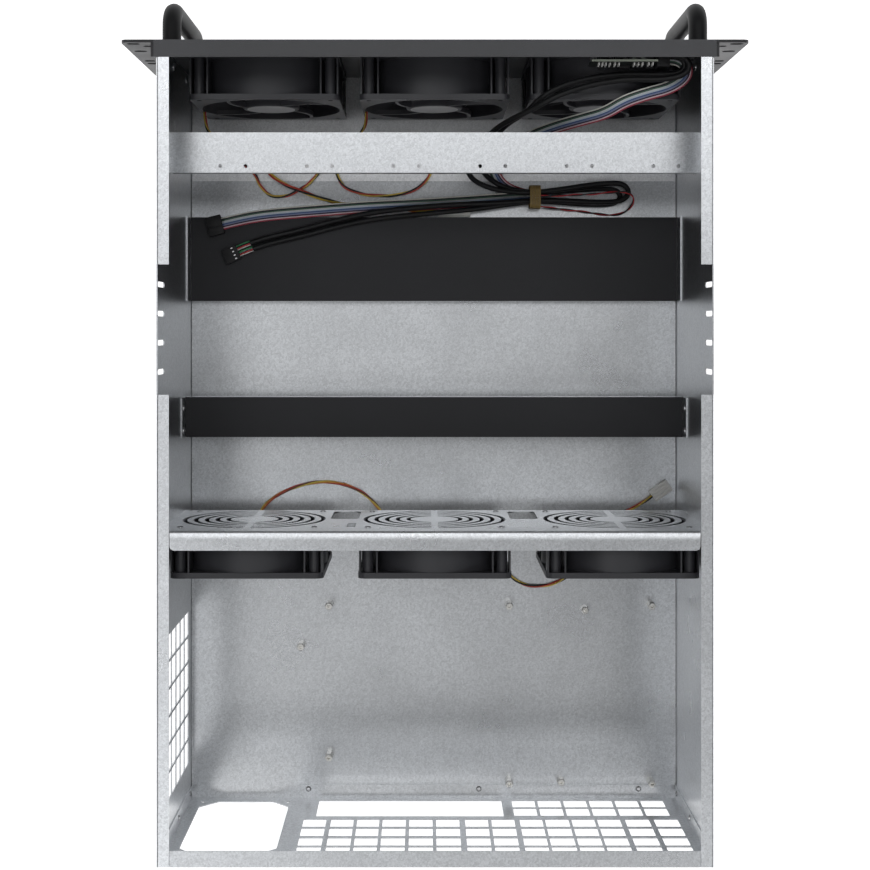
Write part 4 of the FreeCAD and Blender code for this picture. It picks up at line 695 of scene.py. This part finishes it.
def add_flat_cable(name, plug):
    """The ten-wire flat cable, folded back and turned over inside the tie."""
    line = centre_line(cord_routes[name])
    frames = turned_over(level_frames(line), *tie_span)
    count = len(ribbon_tints)
    pitch = ribbon_width / count
    strands = [offset_line(frames, (i - (count - 1) / 2) * pitch) for i in range(count)]
    cable = strand_tube("ribbon_wires", strands, pitch * ribbon_wire_share, 6, flat_cable)
    lay_cord(cable, name, line, ribbon_width, plug, path=line)


def add_lead(name, diameter, tints, pitch, plug=None):
    """A lead of two to four twisted wires along its route."""
    line = centre_line(cord_routes[name])
    frames = level_frames(line)
    count = len(wire_tints[tints])
    wire = diameter * (pair_wire_share if count == 2 else bundle_wire_share)
    strands = [twisted_line(frames, diameter / 2 - wire, full_turn * i / count, pitch) for i in range(count)]
    lead = strand_tube(f"{name}_wires", strands, wire, 8, wire_materials[tints])
    lay_cord(lead, name, line, diameter, plug, "connector" if plug else "object", path=line)


def add_inner_wires(name):
    """Thin wires that show between a round cable's jacket and its plug."""
    frames = level_frames(centre_line(cord_routes[name]))
    last = frames[-1][0]
    end = [spot for spot in frames if (spot[0] - last).length < inner_wire_run]
    strands = [offset_line(end, (k - 1.5) * inner_wire_pitch, inner_wire_lift + inner_wire_step * (k % 2))
               for k in range(len(wire_tints["data"]))]
    strand_tube(f"{name}_inner_wires", strands, inner_wire_radius, 6, wire_materials["data"])


round_cables = ("usb_cable_upper", "usb_cable_lower")
for name in round_cables:
    add_round_cable(name, "usb_plug")
add_flat_cable("ribbon_cable", "ribbon_plug")
add_lead("front_fan_lead_left", lead_diameter, "fan", 0.05)
add_lead("front_fan_lead_centre", lead_diameter, "fan", 0.06)
add_lead("fan_power_lead", power_lead_diameter, "power", 0.07, "fan_power_plug")
add_lead("lamp_pair", lamp_pair_diameter, "lamp", 0.03)
add_lead("middle_fan_lead_left", lead_diameter, "warm", 0.06)
add_lead("middle_fan_lead_centre", lead_diameter, "fan", 0.05)
add_lead("middle_fan_lead_right", lead_diameter, "fan", 0.05, "middle_fan_plug")


# ---- fans
fan_half = 0.060
fan_corner = 0.006
fan_deep = 0.038
fan_flange = 0.0045
fan_bore = 0.057
fan_barrel = 0.0595
fan_screw_reach = 0.0525
fan_screw_hole = 0.0022
fan_post = 0.0043
fan_rib_half = 0.0006
# place across and foot of the two ribs beside each post
fan_ribs = ((0.0452, 0.0387), (0.0586, 0.0430))
between_flanges = (0.0044, 0.0336)
square_corners = [(i, j) for i in (-1, 1) for j in (-1, 1)]

strut_foot = 0.0215
strut_end = fan_bore + 0.001
strut_start = 29
strut_sweep = 30
strut_count = 4
strut_half = 0.0024
# share of the half width, and depth
strut_section = ((-1, 0.0341), (1, 0.0341), (0.7, 0.0378), (-0.7, 0.0378))
hub_profile = [(0.0021, 0.0321), (0.0228, 0.0321), (0.0234, 0.033), (0.0234, 0.0368), (0.0226, 0.0377),
               (0.0021, 0.0377)]
disc_profile = [(0.0, 0.0376), (0.0198, 0.0376), (0.0198, 0.03798), (0.0, 0.03798)]

cup_profile = [(0.0001, 0.00405), (0.0165, 0.00405), (0.0195, 0.0047), (0.0212, 0.0066), (0.0214, 0.0309),
               (0.0001, 0.0309)]
shaft_profile = [(0.0001, 0.0305), (0.0018, 0.0305), (0.0018, 0.0365), (0.0001, 0.0365)]
blade_count = 5
blade_root = 0.0206
blade_tip = 0.0549
blade_middle = 0.01745
blade_start = -4
blade_sweep = 14
blade_edge_loss = 0.6
# each at the root, and how much it grows to the tip
blade_slant = (0.0078, 0.0065)
blade_deep = (0.0068, 0.0048)
blade_camber = (0.0022, 0.0012)
blade_thick = (0.0009, -0.0004)
sweep_steps = 8


def fan_origin(name):
    """Middle of a fan's front face."""
    low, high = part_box(name)
    return Vector(((low.x + high.x) / 2, low.y, (low.z + high.z) / 2))


def fan_flange_outlines():
    """Square flange with the fan's bore and four screw holes."""
    holes = [circle(fan_screw_hole, 14, i * fan_screw_reach, j * fan_screw_reach) for i, j in square_corners]
    return [rounded_outline(fan_half, fan_half, fan_corner), circle(fan_bore, 72)] + holes


def add_fan_tube(shape, inner, outer, sides, placement):
    """A round tube between a fan's two flanges."""
    near, far = between_flanges
    add_lathe(shape, [(inner, near), (outer, near), (outer, far), (inner, far)], sides, placement)


def add_corner_ribs(shape, origin, i, j):
    """Two upright ribs beside one corner post."""
    near, far = between_flanges
    for across, foot in fan_ribs:
        bottom, top = sorted((j * foot, j * (fan_half - fan_rib_half)))
        add_block(shape, (i * across - fan_rib_half, near, bottom), (i * across + fan_rib_half, far, top),
                  Matrix.Translation(origin))


def add_strut(shape, origin, number):
    """A swept strut from the hub to the barrel, its section a little narrower at the back."""
    rings = []
    for step in range(sweep_steps + 1):
        reach = strut_foot + (strut_end - strut_foot) * step / sweep_steps
        angle = math.radians(strut_start + number * 360 / strut_count + strut_sweep * step / sweep_steps)
        middle = origin + Vector((math.cos(angle), 0, math.sin(angle))) * reach
        aside = Vector((-math.sin(angle), 0, math.cos(angle))) * strut_half
        rings.append([middle + aside * share + Vector((0, depth, 0)) for share, depth in strut_section])
    add_sweep(shape, rings)


def make_fan_frame(name):
    """Housing of one fan: flanges, barrel, corner posts with ribs, swept struts and the hub with its disc."""
    origin = fan_origin(name)
    inside = facing_y(origin)
    shape = bmesh.new()
    for depth in (0.0, fan_deep - fan_flange):
        add_plate(shape, fan_flange_outlines(), fan_flange, facing_y(origin + Vector((0, depth, 0))))
    add_fan_tube(shape, fan_bore, fan_barrel, 72, inside)
    for i, j in square_corners:
        post = origin + Vector((i * fan_screw_reach, 0, j * fan_screw_reach))
        add_fan_tube(shape, fan_screw_hole, fan_post, 20, facing_y(post))
        add_corner_ribs(shape, origin, i, j)
    for number in range(strut_count):
        add_strut(shape, origin, number)
    add_lathe(shape, hub_profile, 48, inside)
    add_lathe(shape, disc_profile, 48, inside, slot=1)
    close_shape(shape, f"{name}_housing", [fan_black, label_grey], name)


def add_blade(shape, origin, blade):
    """A swept, twisted and bowed blade, as closed sections from root to tip."""
    rings = []
    for step in range(sweep_steps + 1):
        part = step / sweep_steps
        reach = blade_root + (blade_tip - blade_root) * part
        lead = math.radians(blade_start + blade * 360 / blade_count + blade_sweep * part * part)
        slant, deep, camber, thick = (root + growth * part for root, growth in
                                      (blade_slant, blade_deep, blade_camber, blade_thick))
        front, back = [], []
        for k in range(7):
            along = -1 + k / 3
            bow = camber * (1 - along * along)
            taper = thick * (1 - blade_edge_loss * abs(along))
            for side, line in ((taper, front), (-taper, back)):
                turn = lead + (slant * along - bow + side) / reach
                line.append(origin + Vector((reach * math.cos(turn), blade_middle + deep * along,
                                             reach * math.sin(turn))))
        rings.append(front + back[::-1])
    add_sweep(shape, rings)


def make_fan_rotor(name, origin):
    """Hub cup, shaft and blades on their own body."""
    shape = bmesh.new()
    add_lathe(shape, cup_profile, 48, facing_y(origin), closed=False)
    add_lathe(shape, shaft_profile, 12, facing_y(origin), closed=False)
    for blade in range(blade_count):
        add_blade(shape, origin, blade)
    close_shape(shape, f"{name}_blades", [rotor_black], name, body=name)


for row in ("front", "middle"):
    for side in ("left", "centre", "right"):
        make_fan_frame(f"{row}_fan_frame_{side}")
        make_fan_rotor(f"{row}_fan_rotor_{side}", fan_origin(f"{row}_fan_frame_{side}"))


# ---- fan wall
wall_sheet = 0.0012
wall_notch = 0.0035
guard_slots = 5
guard_bar = 0.0052
guard_inner = 0.0195
guard_outer = 0.058
guard_spoke = 0.0025
# half width, half height, corner, points a corner, and place across and up
wall_windows = [(0.0115, 0.026, 0.005, 6, side * 0.0735, 0.071) for side in (1, -1)]
wall_windows += [(0.0035, 0.003, 0.0008, 3, 0.066, height) for height in (0.128, 0.136, 0.144)]
wall_return = (0.0611, 0.0732)
lip_inset = 0.0095
lip_drop = 0.0018


def guard_openings(x, z):
    """Half-ring slots round one fan's axis, with a spoke left at top and bottom."""
    wide = (guard_outer - guard_inner - (guard_slots - 1) * guard_bar) / guard_slots
    openings = []
    for ring in range(guard_slots):
        near = guard_inner + ring * (wide + guard_bar)
        gap = guard_spoke / near
        for start in (-quarter_turn, quarter_turn):
            arc = (30, x, z, start + gap, math.pi - 2 * gap)
            openings.append(circle(near + wide, *arc) + circle(near, *arc)[::-1])
    return openings


def make_fan_wall():
    """The partition with its finger guards, cable windows and the folded lip at the rim."""
    low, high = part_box("fan_wall")
    top = high.z - lip_drop
    inner_x, inner_top = high.x - wall_notch, top - wall_notch
    outline = [(high.x, low.z), (high.x, inner_top), (inner_x, inner_top), (inner_x, top), (-inner_x, top),
               (-inner_x, inner_top), (low.x, inner_top), (low.x, low.z)]
    openings = []
    for side in ("left", "centre", "right"):
        middle = fan_origin(f"middle_fan_frame_{side}")
        openings += guard_openings(middle.x, middle.z)
    openings += [rounded_outline(*window) for window in wall_windows]
    shape = bmesh.new()
    add_plate(shape, [outline] + openings, wall_sheet, facing_y((0, low.y, 0)))
    add_wall_lip(shape, low, high)
    near, far = wall_return
    for left, right in ((low.x, low.x + wall_sheet), (high.x - wall_sheet, high.x)):
        add_block(shape, (left, near, low.z), (right, far, top - wall_sheet))
    close_shape(shape, "fan_partition", [zinc_steel], "fan_wall", smooth_below=50)


def add_wall_lip(shape, low, high):
    """The lip folded back along the wall's top, its two ends a little rounded."""
    lip_x = high.x - lip_inset
    profile = [(low.y, 0.1745), (low.y, 0.1758), (0.0604, 0.1766), (0.0612, high.z), (0.0684, high.z),
               (high.y, 0.1768), (high.y, 0.1758), (0.0612, 0.1758), (0.0612, 0.1745)]
    ends = ((-lip_x, 0.003), (-lip_x + 0.0009, 0.0009), (-lip_x + 0.003, 0), (lip_x - 0.003, 0),
            (lip_x - 0.0009, 0.0009), (lip_x, 0.003))
    add_sweep(shape, [[Vector((x, min(y, high.y - shrink), z)) for y, z in profile] for x, shrink in ends])


make_fan_wall()


# ---- handles and rack ears
handle_radius = 0.0073
handle_bend = 0.014
bend_steps = 8

ear_sheet = 0.0023
ear_corner = 0.005
ear_hidden = 0.0001
ear_leg_drop = 0.0012
# half width, half height, corner, points a corner, place from the inner edge, and drop from the ear's top
ear_slots = [(0.00515, 0.0034, 0.00335, 8, 0.01655, drop)
             for drop in (0.00635, 0.0381, 0.08255, 0.09525, 0.1397, 0.17145)]
ear_slots.append((0.0041, 0.0026, 0.0025, 6, 0.0066, 0.0162))


def make_handle(name):
    """A round bar bent into a C, with its ends flat on the panel."""
    low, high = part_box(name)
    middle = (low.x + high.x) / 2
    grip = low.y + handle_radius
    top, bottom = high.z - handle_radius, low.z + handle_radius
    line = [(high.y, top, -1, 0)]
    for step in range(bend_steps + 1):
        angle = quarter_turn * step / bend_steps
        sine, cosine = math.sin(angle), math.cos(angle)
        line.append((grip + handle_bend * (1 - sine), top - handle_bend * (1 - cosine), -cosine, -sine))
    line += [(y, top + bottom - z, -dy, dz) for y, z, dy, dz in line[::-1]]
    rings = []
    for y, z, dy, dz in line:
        square = Vector((0, -dz, dy))
        rings.append([Vector((middle + across, y, z)) + square * up
                      for across, up in circle(handle_radius, 28)])
    shape = bmesh.new()
    add_sweep(shape, rings)
    close_shape(shape, f"{name}_bar", [handle_black], name)


def make_rack_ear(name):
    """An ear with its six rack slots and a small inner slot, and its leg turned back along the wall."""
    low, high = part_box(name)
    side = 1 if low.x > 0 else -1
    inner, outer = sorted((side * low.x, side * high.x))
    edge = outer - ear_corner
    outline = ([(inner, low.z)] + circle(ear_corner, 7, edge, low.z + ear_corner, -quarter_turn, quarter_turn)
               + circle(ear_corner, 7, edge, high.z - ear_corner, 0, quarter_turn) + [(inner, high.z)])
    loops = [outline] + [rounded_outline(*slot, inner + across, high.z - drop)
                         for *slot, across, drop in ear_slots]
    shape = bmesh.new()
    add_plate(shape, [[(side * x, z) for x, z in loop] for loop in loops], ear_sheet,
              facing_y((0, low.y, 0)))
    near, far = sorted((side * (inner + ear_hidden), side * (inner + ear_sheet)))
    add_block(shape, (near, low.y + ear_sheet - ear_hidden, low.z + ear_hidden),
              (far, high.y, high.z - ear_leg_drop))
    close_shape(shape, f"{name}_bracket", [ear_grey], name)


for side in ("left", "right"):
    make_handle(f"{side}_handle")
for side in ("left", "right"):
    make_rack_ear(f"{side}_rack_ear")


# ---- repeated small parts
def start_shape_tree(name, sizes):
    """A tree that is given points, named sizes and a material; returned with the sockets of what is given."""
    tree = bpy.data.node_groups.new(name, "GeometryNodeTree")
    tree.interface.new_socket("Geometry", in_out="INPUT", socket_type="NodeSocketGeometry")
    for label, kind in (*sizes, ("Material", "Material")):
        tree.interface.new_socket(label, in_out="INPUT", socket_type=f"NodeSocket{kind}")
    tree.interface.new_socket("Geometry", in_out="OUTPUT", socket_type="NodeSocketGeometry")
    return tree, tree.nodes.new("NodeGroupInput").outputs


def place_on_points(tree, given, item):
    """Put the item on every point, turned by the point's own angles, as one plain mesh."""
    angles = output(tree, "GeometryNodeInputNamedAttribute", {"Name": "turn"}, data_type="FLOAT_VECTOR")
    turn = output(tree, "FunctionNodeEulerToRotation", {0: angles})
    copies = output(tree, "GeometryNodeInstanceOnPoints", {"Points": given["Geometry"], "Instance": item,
                                                           "Rotation": turn})
    real = output(tree, "GeometryNodeRealizeInstances", {0: copies})
    finished = output(tree, "GeometryNodeSetMaterial", {"Geometry": real, "Material": given["Material"]})
    add_node(tree, "NodeGroupOutput", {0: finished})


def make_head_tree():
    """A round or sided post with a rounded top that has a sunk recess."""
    labels = ("Radius", "Height", "Rounding", "Crown", "Recess", "Recess depth")
    tree, given = start_shape_tree("sunk_head", [("Sides", "Int")] + [(label, "Float") for label in labels])
    post = add_node(tree, "GeometryNodeMeshCylinder", {"Vertices": given["Sides"], "Radius": given["Radius"],
                                                       "Depth": given["Height"]})
    lift = output(tree, "ShaderNodeCombineXYZ", {2: maths(tree, "MULTIPLY", given["Height"], 0.5)})
    shape = output(tree, "GeometryNodeTransform", {"Geometry": post.outputs["Mesh"], "Translation": lift})
    normal = output(tree, "GeometryNodeInputNormal")
    upward = add_node(tree, "ShaderNodeSeparateXYZ", {0: normal}).outputs["Z"]
    top = maths(tree, "GREATER_THAN", upward, 0.9)
    for rise, scale in ((given["Rounding"], "Crown"), (0.0, "Recess"), (given["Recess depth"], None)):
        pulled = add_node(tree, "GeometryNodeExtrudeMesh", {"Mesh": shape, "Selection": top,
                                                            "Offset Scale": rise, "Individual": False})
        shape, top = pulled.outputs["Mesh"], pulled.outputs["Top"]
        if scale:
            scaled = {"Geometry": shape, "Selection": top, "Scale": given[scale]}
            shape = output(tree, "GeometryNodeScaleElements", scaled)
    place_on_points(tree, given, shape)
    return tree


def make_bar_tree():
    """Small bars: contacts and soldered legs."""
    tree, given = start_shape_tree("small_bar", [("Size", "Vector")])
    bar = add_node(tree, "GeometryNodeMeshCube", {"Size": given["Size"]})
    place_on_points(tree, given, bar.outputs["Mesh"])
    return tree


def grow(name, tree, places, sizes, material, node=None):
    """Run a tree on (place, angles) points and keep the outcome as one plain mesh."""
    points = bpy.data.meshes.new("points")
    points.from_pydata([place for place, _ in places], [], [])
    angles = points.attributes.new("turn", "FLOAT_VECTOR", "POINT")
    for value, (_, turn) in zip(angles.data, places):
        value.vector = turn
    holder = add_object("points", points)
    modifier = holder.modifiers.new("parts", "NODES")
    modifier.node_group = tree
    values = {**sizes, "Material": material}
    for item in tree.interface.items_tree:
        if item.in_out == "INPUT" and item.name in values:
            modifier[item.identifier] = values[item.name]
    view = bpy.context.evaluated_depsgraph_get()
    mesh = bpy.data.meshes.new_from_object(holder.evaluated_get(view), depsgraph=view)
    holder.modifiers.remove(modifier)
    bpy.data.objects.remove(holder)
    shape = bmesh.new()
    shape.from_mesh(mesh)
    bpy.data.meshes.remove(mesh)
    close_shape(shape, name, [material], node, smooth_below=35)


def inward_places(name):
    """Foot and angles of each head: thin along its own direction, standing towards the middle."""
    places = []
    for middle, size in solid_islands(name):
        thin = min(range(3), key=lambda i: size[i])
        side = 1 if middle.x > 0 else -1
        foot, turn = (
            (Vector((side * size.x / 2, 0, 0)), (0, -side * quarter_turn, 0)),
            (Vector((0, size.y / 2, 0)), (quarter_turn, 0, 0)),
            (Vector((0, 0, -size.z / 2)), (0, 0, 0)),
        )[thin]
        places.append((middle + foot, turn))
    return places


def head_sizes(radius, height, rounding, crown, recess, depth, sides=16):
    """Values for the head tree: crown and recess are shares of the width below them."""
    return {"Sides": sides, "Radius": radius, "Height": height, "Rounding": rounding, "Crown": crown,
            "Recess": recess, "Recess depth": -depth}


head_tree = make_head_tree()
bar_tree = make_bar_tree()
large_screw = head_sizes(0.0029, 0.0007, 0.0005, 0.72, 0.5, 0.0006)
small_screw = head_sizes(0.0024, 0.0005, 0.0004, 0.72, 0.5, 0.0005)
rivet = head_sizes(0.0024, 0.0004, 0.0007, 0.6, 0.45, 0.0003)
for name, node, sizes in (
        ("panel_screw_heads", "front_fan_screws", large_screw),
        ("wall_screw_heads", "middle_fan_screws", small_screw),
        ("side_screw_heads", "side_screws", large_screw),
        ("rivet_heads", "rear_panel_rivets", rivet)):
    grow(name, head_tree, inward_places(node), sizes, plated_steel, node)

spacer_rounding = 0.0004
for node, tall in (("board_standoffs", 0.013), ("short_standoffs", 0.0075)):
    feet = [(middle - Vector((0, 0, size.z / 2)), (0, 0, 0)) for middle, size in solid_islands(node)]
    sizes = head_sizes(0.00346, tall - spacer_rounding, spacer_rounding, 0.84, 0.52, 0.005, sides=6)
    grow(f"{node}_spacers", head_tree, feet, sizes, spacer_steel, node)


# ---- plugs
plug_edge = 0.0005
plug_step = 0.12
collar_edge = 0.0006
collar_start = 0.55
collar_step = 0.4
ridge_edge = 0.0003
ridge_half = 0.28
ridge_ends = (0.06, 0.94)
contact_place = 0.3
contact_step = 0.9
corner_distance = 1e-5
contact_size = Vector((0.0016, 0.0009, 0.0003))


def solid_block(name):
    """A level block's first corner, its short and long edges from there, and its height."""
    corners = []
    for vert in bpy.data.objects[name].data.vertices:
        if all((vert.co - other).length > corner_distance for other in corners):
            corners.append(vert.co.copy())
    lowest = min(corner.z for corner in corners)
    first, *others = [corner for corner in corners if corner.z < lowest + corner_distance]
    short, long = sorted((corner - first for corner in others), key=lambda edge: edge.length)[:2]
    return first, short, long, max(corner.z for corner in corners) - first.z


def make_plug(name, material, ridges, collar, contacts=0):
    """A housing with rounded edges, ridges along its top, a collar at one end and contact windows."""
    first, short, long, tall = solid_block(name)
    long_axis, short_axis = long.normalized(), short.normalized()
    if long_axis.cross(short_axis).z < 0:
        first = first + short
        short_axis = -short_axis
    placement = turned(first, long_axis, short_axis, (0, 0, 1))
    length, width = long.length, short.length
    step = tall * plug_step
    shape = bmesh.new()
    add_block(shape, (0, 0, 0), (length, width, tall - step), placement, plug_edge)
    if collar:
        add_block(shape, (length * collar_start, 0, 0), (length, width, tall - step * collar_step), placement,
                  collar_edge)
    start, end = (length * share for share in ridge_ends)
    for k in range(ridges):
        across = width * (k + 0.5) / ridges
        half = width * ridge_half / ridges
        add_block(shape, (start, across - half, tall / 2), (end, across + half, tall), placement, ridge_edge)
    close_shape(shape, f"{name}_housing", [material], name)
    if contacts:
        turn = (0, 0, math.atan2(long_axis.y, long_axis.x))
        spots = [Vector((length * contact_place, width * (k + 0.5) / contacts, tall - step * contact_step))
                 for k in range(contacts)]
        grow(f"{name}_contacts", bar_tree, [(placement @ spot, turn) for spot in spots],
             {"Size": contact_size}, connector_shell)


make_plug("usb_plug", connector_black, 0, False, contacts=4)
make_plug("ribbon_plug", connector_black, 0, True)
make_plug("fan_power_plug", nylon_white, 4, True)
make_plug("middle_fan_plug", nylon_white, 4, True)


# ---- control board, header and tie
board_rim = 0.0004
# middle and width across, middle and height upward, and depth of each part on the board's back
board_parts = ((-0.1690, 0.006, 0.1450, 0.006, 0.0025), (-0.1485, 0.009, 0.1455, 0.0065, 0.0022),
               (-0.1380, 0.004, 0.1460, 0.004, 0.0018), (-0.1310, 0.005, 0.1440, 0.005, 0.0022))
board_leg_places = (-0.1277, -0.1305, -0.1332, -0.1364, -0.1403, -0.1435, -0.1553, -0.1584, -0.1616, -0.1663,
                    -0.1694)
board_leg_size = Vector((0.0009, 0.0022, 0.0095))
board_leg_height = 0.1565
board_leg_scatter = 0.0012
header_cap = 0.0005
header_rib = 0.0005
header_rib_half = 0.002
header_rib_heights = (0.144, 0.1502, 0.1564)
header_rib_span = (-0.1815, -0.1745)
header_cap_low = (-0.1815, -0.3110)
header_cap_high = (-0.1742, -0.3012)
tie_sheet = 0.0008
tie_corners = (0.005, 0.0043)
tie_rounds = 4
tie_round_share = 0.93


def make_control_board():
    """The printed board: pale cut edge, soldered legs and small parts on its back."""
    low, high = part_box("control_board")
    shape = bmesh.new()
    add_block(shape, low, (high.x, high.y, high.z - board_rim))
    add_block(shape, (low.x, low.y, high.z - board_rim - 0.0001), high, slot=1)
    for x, wide, z, tall, deep in board_parts:
        add_block(shape, (x - wide / 2, high.y - 0.0002, z - tall / 2),
                  (x + wide / 2, high.y + deep, z + tall / 2), round_by=0.0003, slot=2)
    close_shape(shape, "lamp_and_port_board", [board_black, board_edge, connector_black], "control_board")
    places = [((x, high.y + 0.0010, board_leg_height + board_leg_scatter * math.sin(31 * k)), (0, 0, 0))
              for k, x in enumerate(board_leg_places)]
    grow("board_legs", bar_tree, places, {"Size": board_leg_size}, nylon_white)


def make_cable_header():
    """The ribbed shell that holds the three front cables, with a cap on its top."""
    low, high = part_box("cable_header")
    shape = bmesh.new()
    add_block(shape, low, (high.x, high.y, high.z - header_cap), round_by=0.0006)
    start, end = header_rib_span
    for z in header_rib_heights:
        add_block(shape, (start, high.y - header_rib, z - header_rib_half),
                  (end, high.y, z + header_rib_half), round_by=0.0002)
    add_block(shape, (*header_cap_low, high.z - 2 * header_cap), (*header_cap_high, high.z), round_by=0.0004)
    close_shape(shape, "cable_header_shell", [connector_black], "cable_header")


def make_cable_tie():
    """A soft band wound round the folded cables."""
    low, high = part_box("cable_tie")
    middle, half = (low + high) / 2, (high - low) / 2
    outlines = [rounded_outline(half.y - sheet, half.z - sheet, corner, 8, middle.y, middle.z)
                for sheet, corner in zip((0, tie_sheet), tie_corners)]
    along_x = turned((low.x, 0, 0), (0, 1, 0), (0, 0, 1), (1, 0, 0))
    pitch = (high.x - low.x) / tie_rounds
    shape = bmesh.new()
    for k in range(tie_rounds):
        add_plate(shape, outlines, pitch * tie_round_share, along_x @ Matrix.Translation((0, 0, pitch * k)))
    close_shape(shape, "tie_band", [tie_brown], "cable_tie")


make_control_board()
make_cable_header()
make_cable_tie()
for name in round_cables:
    add_inner_wires(name)
